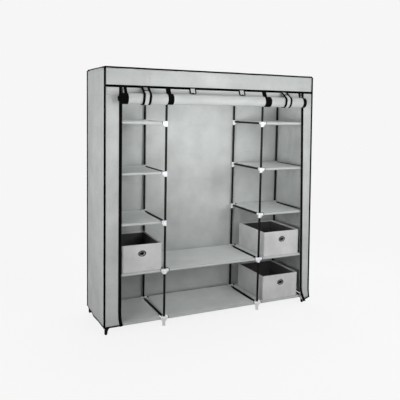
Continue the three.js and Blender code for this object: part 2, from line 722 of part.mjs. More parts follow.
function addFrame() {
  const posts = [
    ['outer_left', -OUTER_POST_X],
    ['inner_left', -INNER_POST_X],
    ['inner_right', INNER_POST_X],
    ['outer_right', OUTER_POST_X],
  ];
  for (const [side, y] of [['front', 0], ['back', FRAME_DEPTH]]) {
    for (const [column, x] of posts) {
      addPiece(`${side}_post_${column}`, post(), 'tube', [x, y, 0]);
    }
  }
  for (let level = 1; level <= LEVEL_COUNT; level += 1) {
    const z = levelHeight(level);
    const crossed = MIDDLE_TUBE_LEVELS.includes(level);
    addPiece(`left_frame_level_${level}`, levelFrame(level, 1), 'connector', [-OUTER_POST_X, 0, z]);
    // With no tube across the middle bay, the frames of both columns are the same piece
    const rightFrame = levelFrame(level, crossed ? -1 : 1);
    const rightStart = crossed ? OUTER_POST_X : INNER_POST_X;
    addPiece(`right_frame_level_${level}`, rightFrame, 'connector', [rightStart, 0, z]);
    if (!crossed) continue;
    addPiece(`middle_front_tube_level_${level}`, middleTube(), 'tube', [0, 0, z]);
    addPiece(`middle_back_tube_level_${level}`, middleTube(), 'tube', [0, FRAME_DEPTH, z]);
  }
  addPiece('hanging_rail', hangingRail(), 'tube', [0, FRAME_DEPTH / 2, TOP_LEVEL_Z]);
}

function addShelves() {
  const sideMiddle = (OUTER_POST_X + INNER_POST_X) / 2;
  for (let level = 1; level < LEVEL_COUNT; level += 1) {
    const z = levelHeight(level);
    addPiece(`left_shelf_level_${level}`, clothShelf(SIDE_BAY), 'shelf', [-sideMiddle, 0, z]);
    addPiece(`right_shelf_level_${level}`, clothShelf(SIDE_BAY), 'shelf', [sideMiddle, 0, z]);
    if (!MIDDLE_SHELF_LEVELS.includes(level)) continue;
    addPiece(`middle_shelf_level_${level}`, clothShelf(MIDDLE_BAY), 'shelf', [0, 0, z]);
  }
}

function addDrawers() {
  const y = DRAWER_DEPTH / 2 - DRAWER_LEAD;
  const upperTopZ = levelHeight(UPPER_DRAWER_LEVEL) + ARM_FLAT + SEAT_GAP + DRAWER_HEIGHT;
  const leftX = STRIP_LEFT_EDGE + DRAWER_ZIP_GAP + LEFT_DRAWER_WIDTH / 2;
  const rightX = rightStripEdge(upperTopZ) - DRAWER_ZIP_GAP - RIGHT_DRAWER_WIDTH / 2;
  const places = [
    ['drawer_left', LEFT_DRAWER_WIDTH, leftX, UPPER_DRAWER_LEVEL],
    ['drawer_right_upper', RIGHT_DRAWER_WIDTH, rightX, UPPER_DRAWER_LEVEL],
    ['drawer_right_lower', RIGHT_DRAWER_WIDTH, rightX, LOWER_DRAWER_LEVEL],
  ];
  for (const [name, width, x, level] of places) {
    const z = levelHeight(level) + ARM_FLAT + SEAT_GAP;
    addPiece(name, drawer(width), 'drawer', [x, y, z]);
  }
}

function addCover() {
  const depth = COVER_OUTER_BACK - COVER_OUTER_FRONT;
  const wallHeight = WALL_TOP_Z - HEM_HEIGHT;
  const roof = clothSheet({
    width: 2 * COVER_OUTER_X,
    height: depth,
    thickness: COVER_THICKNESS,
    columns: ROOF_COLUMNS,
    rows: ROOF_ROWS,
    bulge: (u, v) => -ROOF_SAG * (roofBayShare(u) * Math.sin(Math.PI * v)) ** 2,
  });
  roof.rotateX(-Math.PI / 2);
  addPiece('cover_top', roof, 'cover', [-COVER_OUTER_X, COVER_OUTER_FRONT, ROOF_Z]);

  const folds = hangingFolds(SIDE_FOLDS, FOLD_DEPTH, HEM_FLARE);
  const side = (bulge) => clothSheet({
    width: depth,
    height: wallHeight,
    thickness: COVER_THICKNESS,
    columns: SIDE_COLUMNS,
    rows: SIDE_ROWS,
    bulge,
  });
  const left = side(folds).rotateZ(-Math.PI / 2);
  addPiece('cover_left_side', left, 'cover', [-COVER_INNER_X, COVER_OUTER_BACK, HEM_HEIGHT]);
  const flared = (u, v) => folds(u, v) + (1 - u) * cornerFlare(HEM_HEIGHT + v * wallHeight);
  const right = side(flared).rotateZ(Math.PI / 2);
  addPiece('cover_right_side', right, 'cover', [COVER_INNER_X, COVER_OUTER_FRONT, HEM_HEIGHT]);

  const between = COVER_INNER_X - SEAT_GAP;
  const back = clothSheet({
    width: 2 * between,
    height: wallHeight,
    thickness: COVER_THICKNESS,
    columns: BACK_COLUMNS,
    rows: BACK_ROWS,
    bulge: hangingFolds(BACK_FOLDS, FOLD_DEPTH, HEM_FLARE),
  });
  back.rotateZ(Math.PI);
  addPiece('cover_back', back, 'cover', [between, COVER_INNER_BACK, HEM_HEIGHT]);

  const strip = (width, bulge, skew) => clothSheet({
    width,
    height: STRIP_HEIGHT,
    thickness: COVER_THICKNESS,
    columns: STRIP_COLUMNS,
    rows: STRIP_ROWS,
    bulge,
    skew,
  });
  const leftStrip = strip(STRIP_LEFT_EDGE + between, stripFold);
  addPiece('front_strip_left', leftStrip, 'cover', [-between, COVER_INNER_FRONT, HEM_HEIGHT]);
  const rightSkew = (u, v) => (
    (1 - u) * STRIP_RIGHT_LEAN * v + u * cornerFlare(HEM_HEIGHT + v * STRIP_HEIGHT)
  );
  const rightWidth = between - STRIP_RIGHT_HEM_EDGE;
  const rightStrip = strip(rightWidth, (u, v) => stripFold(1 - u, v), rightSkew);
  const rightPlace = [STRIP_RIGHT_HEM_EDGE, COVER_INNER_FRONT, HEM_HEIGHT];
  addPiece('front_strip_right', rightStrip, 'cover', rightPlace);
  const valance = new THREE.BoxGeometry(2 * between, COVER_THICKNESS, VALANCE_DEPTH);
  const valanceY = (COVER_INNER_FRONT + COVER_OUTER_FRONT) / 2;
  const valanceZ = VALANCE_BOTTOM_Z + VALANCE_DEPTH / 2;
  addPiece('cover_valance', valance, 'cover', [0, valanceY, valanceZ]);
}

function addDoor() {
  addPiece('door_roll', doorRoll(), 'cover', [0, ROLL_Y, ROLL_Z]);
  addPiece('door_web', doorWeb(), 'cover');
  for (const [side, sign] of [['left', -1], ['right', 1]]) {
    const strapX = sign * (INNER_POST_X + STRAP_OUTSIDE_POST[side]);
    addPiece(`door_strap_${side}`, doorStrap(), 'cover', [strapX, 0, 0]);
    const tieX = sign * (INNER_POST_X - TIE_INSIDE_POST[side]);
    const tiePlace = [tieX, COVER_OUTER_FRONT - SEAT_GAP, SEAM_Z];
    addPiece(`door_tie_${side}`, doorTie(), 'cover', tiePlace).rotation.x = -TIE_SLOPE;
  }
}

function addZips() {
  const z = VALANCE_BOTTOM_Z - SLIDER_BELOW_VALANCE;
  const sides = [
    ['left', STRIP_LEFT_EDGE, 1, 0],
    ['right', rightStripEdge(z), -1, Math.atan2(STRIP_RIGHT_LEAN, STRIP_HEIGHT)],
  ];
  for (const [side, x, inward, lean] of sides) {
    const zip = new THREE.Group();
    zip.position.set(x, COVER_OUTER_FRONT, z);
    zip.rotation.y = lean;
    assembly.add(zip);
    addPiece(`zip_slider_${side}`, zipSlider(inward), 'zip', [0, 0, 0], zip);
    const pinY = -SEAT_GAP - SLIDER_PLATE - PIN_STANDOFF;
    addPiece(`zip_pull_${side}`, zipPull(), 'zip', [0, pinY, 0], zip);
  }
}

addFrame();
addShelves();
addDrawers();
addCover();
addDoor();
addZips();

// The origin is on the floor, under the middle of the whole outline
const outline = new THREE.Box3().setFromObject(assembly);
const centre = outline.getCenter(new THREE.Vector3());
assembly.position.set(-centre.x, -centre.y, -outline.min.z);

export default wardrobe;
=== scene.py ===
# %% [markdown]
# A free-standing cloth wardrobe: black steel tubes pushed into white plastic connectors carry cloth
# shelves and open drawers, and a sewn grey cover with black bound seams hangs over it all, its front
# door rolled up under the valance. The packed model is loaded first, because it fixes every size and
# every place. Each later cell dresses one kind of piece in the shape and finish of the real one.

# %% Load the packed model
import math

import bmesh
import bpy
from mathutils import Matrix, Vector, noise


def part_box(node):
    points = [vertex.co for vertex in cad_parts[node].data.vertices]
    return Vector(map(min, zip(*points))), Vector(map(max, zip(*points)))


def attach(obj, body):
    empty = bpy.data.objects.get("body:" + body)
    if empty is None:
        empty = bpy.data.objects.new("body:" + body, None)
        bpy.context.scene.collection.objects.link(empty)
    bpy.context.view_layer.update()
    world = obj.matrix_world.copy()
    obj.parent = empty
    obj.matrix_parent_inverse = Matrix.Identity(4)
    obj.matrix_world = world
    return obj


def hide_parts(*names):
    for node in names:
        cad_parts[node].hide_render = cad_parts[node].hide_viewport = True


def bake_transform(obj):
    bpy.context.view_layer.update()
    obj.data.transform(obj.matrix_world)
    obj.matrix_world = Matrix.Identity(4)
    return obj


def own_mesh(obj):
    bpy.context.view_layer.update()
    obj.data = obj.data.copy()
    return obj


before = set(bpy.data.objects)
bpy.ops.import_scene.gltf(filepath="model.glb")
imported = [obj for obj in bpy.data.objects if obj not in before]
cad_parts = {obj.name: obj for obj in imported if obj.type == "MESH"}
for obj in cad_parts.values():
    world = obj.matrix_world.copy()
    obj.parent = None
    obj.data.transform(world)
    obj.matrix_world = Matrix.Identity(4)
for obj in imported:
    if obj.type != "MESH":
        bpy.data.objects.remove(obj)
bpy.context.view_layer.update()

# %% [markdown]
# The camera comes next, so that every piece can be judged from the photograph's own place. It stands
# to the left of the middle at shoulder height and looks slightly down. Its place and lens were found
# by fitting known corners of the frame to where they lie in the photograph. Its picture is shifted
# down as well, and that keeps the upright tubes nearly parallel, as a steeper look down would not.

# %% Camera
PHOTO_SIDE = 400
FOCAL_PIXELS = 535.96
CAMERA_PLACE = (-1.7337, -3.5085, 1.4974)
CAMERA_TURN = math.radians(25.656)
CAMERA_TILT = math.radians(-5.312)
CAMERA_ROLL = math.radians(1.061)
MIDDLE_ROW = 158.8

camera_data = bpy.data.cameras.new("photo_camera")
camera_data.sensor_width = 36
camera_data.lens = camera_data.sensor_width * FOCAL_PIXELS / PHOTO_SIDE
camera_data.shift_y = (MIDDLE_ROW - PHOTO_SIDE / 2) / PHOTO_SIDE
camera_data.clip_end = 60
camera = bpy.data.objects.new("photo_camera", camera_data)
bpy.context.scene.collection.objects.link(camera)
upright_look = (
    Matrix.Rotation(-CAMERA_TURN, 4, "Z") @ Matrix.Rotation(math.pi / 2 + CAMERA_TILT, 4, "X")
)
camera.matrix_world = (
    Matrix.Translation(CAMERA_PLACE) @ upright_look @ Matrix.Rotation(CAMERA_ROLL, 4, "Z")
)
bpy.context.scene.camera = camera
print("lens", round(camera_data.lens, 2), "mm, shift", round(camera_data.shift_y, 4))

# %% [markdown]
# Node graphs are easier to read as sums than as boxes and wires. `Signal` wraps one output socket,
# so that adding or multiplying two signals adds the Math node that does it. `Graph` wraps one tree of
# nodes, and its `node` makes every one of them from its type, its settings and the values or signals
# that feed it. `Finish` is the graph of one material, and its constants go straight on its shader.

# %% Shader expressions
class Signal:
    """A value that varies over a surface: one output socket of a graph's nodes."""

    def __init__(self, graph, socket):
        self.graph = graph
        self.socket = socket

    def math(self, operation, *values):
        feeds = dict(enumerate((self, *values)))
        return self.graph.node("ShaderNodeMath", {"operation": operation}, feeds)

    def __add__(self, other):
        return self.math("ADD", other)

    __radd__ = __add__

    def __sub__(self, other):
        return self.math("SUBTRACT", other)

    def __rsub__(self, other):
        return (self * -1) + other

    def __mul__(self, other):
        return self.math("MULTIPLY", other)


def set_stops(ramp, stops):
    """Places a colour ramp's stops, each a position and a grey level."""
    while len(ramp.elements) < len(stops):
        ramp.elements.new(1)
    for element, (position, level) in zip(ramp.elements, stops):
        element.position = position
        element.color = (level, level, level, 1)


class Graph:
    """One tree of nodes."""

    def __init__(self, tree):
        self.tree = tree

    def plug(self, socket, value):
        if isinstance(value, Signal):
            self.tree.links.new(value.socket, socket)
        else:
            socket.default_value = value

    def node(self, kind, settings=None, feeds=None, output=0):
        made = self.tree.nodes.new(kind)
        for key, value in (settings or {}).items():
            if key == "stops":
                set_stops(made.color_ramp, value)
            else:
                setattr(made, key, value)
        for key, value in (feeds or {}).items():
            self.plug(made.inputs[key], value)
        return Signal(self, made.outputs[output])


class Finish(Graph):
    """A material with one Principled shader, fed by its sockets' names."""

    def __init__(self, name, **constants):
        self.material = bpy.data.materials.new(name)
        self.material.use_nodes = True
        super().__init__(self.material.node_tree)
        self.shader = self.tree.nodes["Principled BSDF"]
        self.feed(**constants)

    def feed(self, **inputs):
        for socket, value in inputs.items():
            self.plug(self.shader.inputs[socket.replace("_", " ")], value)
        return self


print("classes ready:", Signal.__name__, Graph.__name__, Finish.__name__)

# %% [markdown]
# Three small helpers serve nearly every finish here. `speckle` is plain noise, `bumps` turns a height
# signal and its depth in metres into a surface normal, and `mixed` mixes two colours by a signal.
# Every texture reads the object's own coordinates, so it has its true scale on every piece and needs
# no unwrapping.

# %% Pattern helpers
def here(finish):
    return finish.node("ShaderNodeTexCoord", output="Object")


def speckle(finish, per_metre, detail=2, roughness=0.5, stretch=(1, 1, 1)):
    place = finish.node("ShaderNodeMapping", {}, {"Vector": here(finish), "Scale": stretch})
    feeds = {"Vector": place, "Scale": per_metre, "Detail": detail, "Roughness": roughness}
    return finish.node("ShaderNodeTexNoise", {}, feeds)


def mixed(finish, factor, first, second):
    settings = {"data_type": "RGBA"}
    return finish.node("ShaderNodeMix", settings, {0: factor, 6: first, 7: second}, output=2)


def bumps(finish, height, depth, strength=1.0, under=None):
    feeds = {"Strength": strength, "Distance": depth, "Height": height}
    if under is not None:
        feeds["Normal"] = under
    return finish.node("ShaderNodeBump", {}, feeds)


def grey(level, warm=0.0):
    """A neutral colour of this level, made a little warmer, or cooler where warm is below 0."""
    return (level * (1 + warm), level, level * (1 - warm), 1)


def cover_grey(level):
    """The cover's grey, which leans a little to green and blue."""
    return (level * 0.964, level, level * 0.988, 1)


print("a cover grey of 0.5 is", [round(part, 3) for part in cover_grey(0.5)])

# %% [markdown]
# The cover, shelves and drawers are spun-bonded cloth: fibres pressed together at small dots and
# never woven. Up close it shows a grid of sunken dots about two millimetres apart and a tangle of
# fibres, and from afar faint cloudy patches where the fibres lie thicker, and soft creases from its
# packing. The cover also keeps level fold lines about 20 cm apart, from the box that it came in. One
# function makes the family, and only colours, crease depth and folds differ.

# %% Bonded cloth
FIBRES_PER_METRE = 700
DOTS_PER_METRE = 520
FOLD_SPACING = 0.21
FOLD_SHARE = 0.022
FOLD_DEPTH = 0.0016


def fold_lines(finish):
    """1 on level lines FOLD_SPACING apart, falling to 0 at FOLD_SHARE of the spacing beside them."""
    height = finish.node("ShaderNodeSeparateXYZ", {}, {0: here(finish)}, output=2)
    along = (height * (1 / FOLD_SPACING)).math("FRACT") - 0.5
    return 1 - along.math("ABSOLUTE").math("MINIMUM", FOLD_SHARE) * (1 / FOLD_SHARE)


def bonded_cloth(name, pale, deep, crease, folded=False):
    finish = Finish(name, Sheen_Weight=0.08, Sheen_Roughness=0.55, Specular_IOR_Level=0.2)
    fibres = speckle(finish, FIBRES_PER_METRE, detail=5, roughness=0.7)
    clouds = speckle(finish, 7, detail=3)
    patches = speckle(finish, 45, detail=4, roughness=0.65)
    grid = {"Vector": here(finish), "Scale": DOTS_PER_METRE, "Randomness": 0.25}
    cells = finish.node("ShaderNodeTexVoronoi", {}, grid)
    dots = finish.node("ShaderNodeValToRGB", {"stops": [(0.18, 1.0), (0.34, 0.0)]}, {0: cells})
    shade = clouds * 1.5 - 0.475 + patches * 0.3 + fibres * 0.3 - dots * 0.08
    colour = mixed(finish, shade, pale, deep)
    swells = speckle(finish, 9, detail=3, roughness=0.45, stretch=(1, 1, 0.45))
    ridges = (speckle(finish, 4.5, stretch=(1, 1.4, 0.8)) - 0.5).math("ABSOLUTE")
    soft = bumps(finish, swells - ridges.math("MINIMUM", 0.06) * 3, crease * 1.6, 0.8)
    if folded:
        soft = bumps(finish, fold_lines(finish), FOLD_DEPTH, 0.7, under=soft)
    close = bumps(finish, fibres * 0.5 - dots * 0.5, 0.0004, 0.5, under=soft)
    return finish.feed(Base_Color=colour, Roughness=0.86 + patches * 0.12, Normal=close)


COVER_CLOTH = bonded_cloth(
    "cover_cloth", cover_grey(0.58), cover_grey(0.44), crease=0.0042, folded=True
)
DOOR_CLOTH = bonded_cloth("door_cloth", cover_grey(0.53), cover_grey(0.43), crease=0.0018)
SHELF_CLOTH = bonded_cloth("shelf_cloth", cover_grey(0.82), cover_grey(0.68), crease=0.0018)
# The sleeves' deeper grey is painted shade that tones down their fronts, which face the lamps.
SLEEVE_PAINTED_SHADE_CLOTH = bonded_cloth("shelf_sleeve_painted_shade", cover_grey(0.56), cover_grey(0.46), crease=0.0012)
DRAWER_CLOTH = bonded_cloth("drawer_cloth", grey(0.68, 0.002), grey(0.48), crease=0.009)
# The drawers' charcoal inside is painted shade for the deep shadow in a drawer.
INSIDE_PAINTED_SHADE_CLOTH = bonded_cloth("drawer_inside_painted_shade", grey(0.09), grey(0.05), crease=0.001)
bonded = (COVER_CLOTH, DOOR_CLOTH, SHELF_CLOTH, SLEEVE_PAINTED_SHADE_CLOTH, DRAWER_CLOTH, INSIDE_PAINTED_SHADE_CLOTH)
print("bonded cloths:", [finish.material.name for finish in bonded])

# %% [markdown]
# Every cut edge of the cover is bound with black ribbed tape, and the zips lie on tape of the same
# kind. The ribs slant across the tape, a little over two millimetres apart. They are too low to model,
# so they are a wave in the surface normal, with a little dust that makes the black less dead.

# %% Black tape, zip coil and thread
RIB_SCALE = 260
WAVES_PER_UNIT = 10 / (2 * math.pi)


def ribbed_tape(name, level):
    finish = Finish(name, Specular_IOR_Level=0.03)
    waves = {"wave_type": "BANDS", "bands_direction": "DIAGONAL"}
    feeds = {"Vector": here(finish), "Scale": RIB_SCALE, "Distortion": 1.5}
    ribs = finish.node("ShaderNodeTexWave", waves, feeds, output=1)
    dust = speckle(finish, 60, detail=4, roughness=0.7)
    colour = mixed(finish, dust, grey(level * 0.7), grey(level * 1.6))
    woven = bumps(finish, ribs, 0.0003, 0.6)
    return finish.feed(Base_Color=colour, Roughness=0.72 + dust * 0.2, Normal=woven)


def coil_plastic():
    finish = Finish("zip_coil", Specular_IOR_Level=0.12)
    wear = speckle(finish, 90, detail=3)
    colour = mixed(finish, wear, grey(0.002), grey(0.007))
    return finish.feed(Base_Color=colour, Roughness=0.3 + wear * 0.2)


def sewing_thread():
    finish = Finish("sewing_thread", Sheen_Weight=0.3, Specular_IOR_Level=0.3)
    twist = speckle(finish, 900, stretch=(1, 1, 3))
    colour = mixed(finish, twist, grey(0.66), grey(0.46))
    ply = bumps(finish, twist, 0.0002)
    return finish.feed(Base_Color=colour, Roughness=0.7 + twist * 0.2, Normal=ply)


BLACK_TAPE = ribbed_tape("black_tape", 0.002)
ZIP_COIL = coil_plastic()
THREAD = sewing_thread()
print("ribs of the tape:", round(1000 / (RIB_SCALE * WAVES_PER_UNIT), 1), "mm apart")

# %% [markdown]
# The tubes are thin steel with a baked black coat: satin and slightly rippled, with tiny scuffs that
# are a little greyer and duller. The connectors are moulded white plastic with a cool tint, a fine
# moulded grain and faint flow marks. The eyelets and zip sliders are plated metal.

# %% Tube coat, connector plastic and metals
def tube_coat():
    finish = Finish("tube_coat", Specular_IOR_Level=0.13)
    ripple = speckle(finish, 160, detail=3)
    scuffs = speckle(finish, 38, detail=6, roughness=0.75, stretch=(1, 1, 0.2))
    marks = finish.node("ShaderNodeValToRGB", {"stops": [(0.6, 0.0), (0.72, 1.0)]}, {0: scuffs})
    colour = mixed(finish, marks * 0.5, grey(0.004, -0.02), grey(0.025, -0.01))
    rough = 0.32 + ripple * 0.12 + marks * 0.1
    uneven = bumps(finish, ripple, 0.0002, 0.35)
    return finish.feed(Base_Color=colour, Roughness=rough, Normal=uneven)


def connector_plastic(name, pale, deep, gloss=0.5):
    finish = Finish(name, Specular_IOR_Level=gloss)
    grain = speckle(finish, 1400)
    flow = speckle(finish, 30, detail=3, roughness=0.6)
    colour = mixed(finish, flow, pale, deep)
    moulded = bumps(finish, grain, 0.0001, 0.3)
    return finish.feed(Base_Color=colour, Roughness=0.34 + flow * 0.14, Normal=moulded)


def plated_metal(name, level, rough):
    finish = Finish(name, Metallic=1.0)
    wear = speckle(finish, 120, detail=5, roughness=0.7)
    colour = mixed(finish, wear, grey(level), grey(level * 0.6))
    return finish.feed(Base_Color=colour, Roughness=rough + wear * 0.18)


TUBE_COAT = tube_coat()
COOL_WHITE, COOL_SHADE = (0.86, 0.875, 0.91, 1), (0.78, 0.795, 0.83, 1)
CONNECTOR_PLASTIC = connector_plastic("connector_plastic", COOL_WHITE, COOL_SHADE)
BLACK_PLASTIC = connector_plastic("black_plastic", grey(0.003), grey(0.006), gloss=0.15)
EYELET_METAL = plated_metal("eyelet_metal", level=0.045, rough=0.16)
ZIP_METAL = plated_metal("zip_metal", level=0.06, rough=0.3)
hard = (TUBE_COAT, CONNECTOR_PLASTIC, BLACK_PLASTIC, EYELET_METAL, ZIP_METAL)
print("hard finishes:", [finish.material.name for finish in hard])

# %% [markdown]
# The stage is a pale floor that runs into a pale world, as in a catalogue picture. The camera, and
# anything glossy, sees a flat near-white, while the light that falls on the wardrobe is separate.
# Broad lamps stand in front, at both sides and behind, most of them about as high as the wardrobe,
# and one hangs above. Studios also lift the shade inside such a deep thing, so two small low lamps
# shine up into the bays with a narrow spread, and a strip of light lies hidden behind the rolled
# door. Round the wardrobe the floor keeps a little of its true shading, for the shadow, and further
# out it becomes the backdrop, so no horizon shows.

# %% Floor, backdrop and lamps
BACKDROP = grey(0.922)
FLOOR_GLOW = grey(1.0)
FLOOR_SHARE = 0.15
FLOOR_REACH, FLOOR_BELOW = 14, 0.0006
SHADOW_INNER, SHADOW_OUTER = 1.2, 3.0
SKY_STRENGTH = 0.13


def studio_world():
    """A world that lights the wardrobe as a dim sky, but looks like the backdrop."""
    world = bpy.data.worlds.new("studio")
    world.use_nodes = True
    bpy.context.scene.world = world
    graph = Graph(world.node_tree)
    graph.tree.nodes.remove(graph.tree.nodes["Background"])
    sky = graph.node("ShaderNodeBackground", {}, {"Color": grey(1.0), "Strength": SKY_STRENGTH})
    backdrop = graph.node("ShaderNodeBackground", {}, {"Color": BACKDROP})
    glossy = graph.node("ShaderNodeLightPath", output="Is Glossy Ray")
    seen = graph.node("ShaderNodeLightPath", output="Is Camera Ray").math("MAXIMUM", glossy)
    choice = graph.node("ShaderNodeMixShader", {}, {0: seen, 1: sky, 2: backdrop})
    graph.plug(graph.tree.nodes["World Output"].inputs["Surface"], choice)


def studio_floor():
    finish = Finish("studio_floor", Base_Color=grey(0.62), Roughness=0.9, Specular_IOR_Level=0.0)
    length = {"operation": "LENGTH"}
    distance = finish.node("ShaderNodeVectorMath", length, {0: here(finish)}, output="Value")
    fade = {
        "Value": distance, "From Min": SHADOW_INNER, "From Max": SHADOW_OUTER,
        "To Min": 1.0, "To Max": 0.0,
    }
    near = finish.node("ShaderNodeMapRange", {"interpolation_type": "SMOOTHSTEP"}, fade)
    glow = finish.node("ShaderNodeEmission", {}, {"Color": mixed(finish, near, BACKDROP, FLOOR_GLOW)})
    seen = finish.node("ShaderNodeLightPath", output="Is Camera Ray")
    shader = Signal(finish, finish.shader.outputs[0])
    share = seen * (1 - near * FLOOR_SHARE)
    both = finish.node("ShaderNodeMixShader", {}, {0: share, 1: shader, 2: glow})
    finish.plug(finish.tree.nodes["Material Output"].inputs["Surface"], both)
    mesh = bpy.data.meshes.new("studio_floor")
    turns = ((-1, -1), (1, -1), (1, 1), (-1, 1))
    corners = [(x * FLOOR_REACH, y * FLOOR_REACH, -FLOOR_BELOW) for x, y in turns]
    mesh.from_pydata(corners, [], [(0, 1, 2, 3)])
    mesh.materials.append(finish.material)
    floor = bpy.data.objects.new("studio_floor", mesh)
    bpy.context.scene.collection.objects.link(floor)


def soft_lamp(name, place, target, size, power, spread):
    """A rectangular lamp that looks from its place at its target, spread over so many degrees."""
    data = bpy.data.lights.new(name, "AREA")
    data.shape = "RECTANGLE"
    data.spread = math.radians(spread)
    data.size, data.size_y = size
    data.energy = power
    lamp = bpy.data.objects.new(name, data)
    lamp.location = place
    lamp.rotation_euler = (Vector(target) - Vector(place)).to_track_quat("-Z", "Y").to_euler()
    lamp.visible_camera = False
    bpy.context.scene.collection.objects.link(lamp)


studio_world()
studio_floor()
LAMPS = {
    "front_right_lamp": ((1.3, -2.6, 1.75), (0.3, 0, 1.35), (2.6, 1.4), 50, 180),
    "front_left_lamp": ((-2.8, -1.9, 1.3), (0.5, 0, 1.2), (1.0, 1.2), 14, 120),
    "left_lamp": ((-3.2, -0.2, 1.8), (-0.8, 0, 1.4), (1.4, 1.2), 29, 180),
    "left_low_lamp": ((-1.4, -2.2, 1.0), (0.6, 0.2, 1.4), (0.8, 0.5), 2.4, 50),
    "right_low_lamp": ((0.9, -2.4, 0.9), (-0.6, 0.25, 1.62), (0.8, 0.5), 0.9, 40),
    "bay_lamp": ((0, -0.12, 1.63), (0, 0.2, 1.2), (1.3, 0.12), 1.5, 180),
    "right_lamp": ((3.2, 0.3, 1.8), (0.8, 0, 1.2), (1.4, 1.2), 26, 180),
    "back_lamp": ((0.8, 3.2, 1.9), (0, 0.3, 1.1), (1.8, 1.2), 44, 180),
    "top_lamp": ((0.1, 0.5, 3.9), (0, 0.1, 1.75), (2.4, 1.2), 38, 180),
}
for name, settings in LAMPS.items():
    soft_lamp(name, *settings)
bpy.context.scene.view_settings.view_transform = "Standard"
print("lamps:", len(LAMPS), "with", sum(settings[3] for settings in LAMPS.values()), "watts in all")

# %% [markdown]
# Nearly every piece here is a tube, a turned part, a band or a sheet. So a `Shape` gathers points
# and faces from a few makers: `skin` joins rows of points, `turned` spins a profile about an axis,
# and `swept` carries a section along a path. When a shape is finished it becomes one piece, which
# rides on its body and hides the plain solids that it stands for.

# %% Gathering a shape
class Shape:
    """The points and faces of one piece, gathered part by part."""

    def __init__(self):
        self.points = []
        self.faces = []
        self.finish_of = []

    def add(self, part, finish=0):
        """Adds a part's points and faces. finish is the index of their finish."""
        points, faces = part
        start = len(self.points)
        self.points += [tuple(point) for point in points]
        self.faces += [[start + corner for corner in face] for face in faces]
        self.finish_of += [finish] * len(faces)
        return self

    def solid(self, name, finishes=(), closed=True, sharp=38):
        """The gathered points and faces as an object, with the normals of a closed one set outward."""
        mesh = bpy.data.meshes.new(name)
        mesh.from_pydata(self.points, [], self.faces)
        for finish in finishes:
            mesh.materials.append(finish.material)
        mesh.polygons.foreach_set("material_index", self.finish_of)
        work = bmesh.new()
        work.from_mesh(mesh)
        bmesh.ops.remove_doubles(work, verts=work.verts, dist=1e-6)
        if closed:
            bmesh.ops.recalc_face_normals(work, faces=work.faces)
        work.to_mesh(mesh)
        work.free()
        mesh.shade_smooth()
        mesh.set_sharp_from_angle(angle=math.radians(sharp))
        made = bpy.data.objects.new(name, mesh)
        bpy.context.scene.collection.objects.link(made)
        return made

    def piece(self, name, finishes, slot, body="root", nodes=(), closed=True, sharp=38):
        made = self.solid(name, finishes, closed, sharp)
        if body:
            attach(made, body)
        if nodes:
            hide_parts(*nodes)
        return made


print("a shape gathers", list(vars(Shape())))

# %% Skins, turned parts and sweeps
TUBE_RADIUS = 0.008
CUT_EASE = 0.0006


def between(low, high, share):
    return low + (high - low) * share


def skin(rows, wrap=True, caps=True, loop=False):
    """Faces between rows of points. wrap closes each row, and loop joins the last row to the first."""
    count = len(rows[0])
    points = [point for row in rows for point in row]
    faces = []
    for step in range(len(rows) if loop else len(rows) - 1):
        a, b = step * count, (step + 1) % len(rows) * count
        for i in range(count if wrap else count - 1):
            j = (i + 1) % count
            faces.append((a + i, a + j, b + j, b + i))
    if caps:
        faces.append(tuple(reversed(range(count))))
        faces.append(tuple(range(len(points) - count, len(points))))
    return points, faces


def turned(profile, place, axis, sides=20, hollow=False):
    """A profile of (radius, distance along the axis) spun about the axis through place."""
    axis = Vector(axis).normalized()
    side = axis.orthogonal().normalized()
    other = axis.cross(side)
    rows = []
    for radius, along in profile:
        middle = Vector(place) + axis * along
        turns = [2 * math.pi * i / sides for i in range(sides)]
        rows.append([middle + (side * math.cos(t) + other * math.sin(t)) * radius for t in turns])
    return skin(rows, caps=not hollow, loop=hollow)


def swept(path, section, side, loop=False):
    """A section of (across, out) offsets carried along a path. side(i) points across at point i."""
    rows = []
    for i, point in enumerate(path):
        before = path[i - 1] if loop or i > 0 else path[i]
        after = path[(i + 1) % len(path)] if loop or i + 1 < len(path) else path[i]
        along = (Vector(after) - Vector(before)).normalized()
        across = Vector(side(i))
        across = (across - along * across.dot(along)).normalized()
        out = along.cross(across)
        rows.append([Vector(point) + across * a + out * b for a, b in section])
    return skin(rows, caps=not loop, loop=loop)


def oval(half_width, half_height, sides):
    turns = [2 * math.pi * i / sides for i in range(sides)]
    return [(half_width * math.cos(t), half_height * math.sin(t)) for t in turns]


def round_tube(start, end):
    """A tube length with its two cut edges eased."""
    start, end = Vector(start), Vector(end)
    length = (end - start).length
    ends = [(TUBE_RADIUS - CUT_EASE, 0), (TUBE_RADIUS, CUT_EASE)]
    profile = ends + [(radius, length - along) for radius, along in reversed(ends)]
    return turned(profile, start, end - start)


print("a metre of tube has", len(round_tube((0, 0, 0), (0, 0, 1))[1]), "faces")

# %% [markdown]
# The places of the posts and levels come from the packed model itself, so they can't drift away
# from it. Four posts stand at the front and four at the back, with six levels up each.

# %% Places read from the packed model
def middle_of(node):
    low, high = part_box(node)
    return (low + high) / 2


LEVEL_COUNT = 6
COLUMNS = ("outer_left", "inner_left", "inner_right", "outer_right")
POST_X = {column: middle_of(f"front_post_{column}").x for column in COLUMNS}
POST_Y = {row: middle_of(f"{row}_post_outer_left").y for row in ("front", "back")}
ARM_REACH = 0.028
SOCKET_ABOVE = 0.0115
SOCKET_BELOW = 0.026


def level_height(level):
    low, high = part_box(f"left_frame_level_{level}")
    return high.z - SOCKET_ABOVE


LEVEL_Z = {level: level_height(level) for level in range(1, LEVEL_COUNT + 1)}
print("posts at", POST_X, POST_Y)
print("levels at", {level: round(z, 4) for level, z in LEVEL_Z.items()})

# %% [markdown]
# Each post is five tube lengths that meet inside the connectors, so the joints between them never
# show. They are still modelled as lengths, because that is how the wardrobe goes together.

# %% Posts
JOINT_GAP = 0.0005


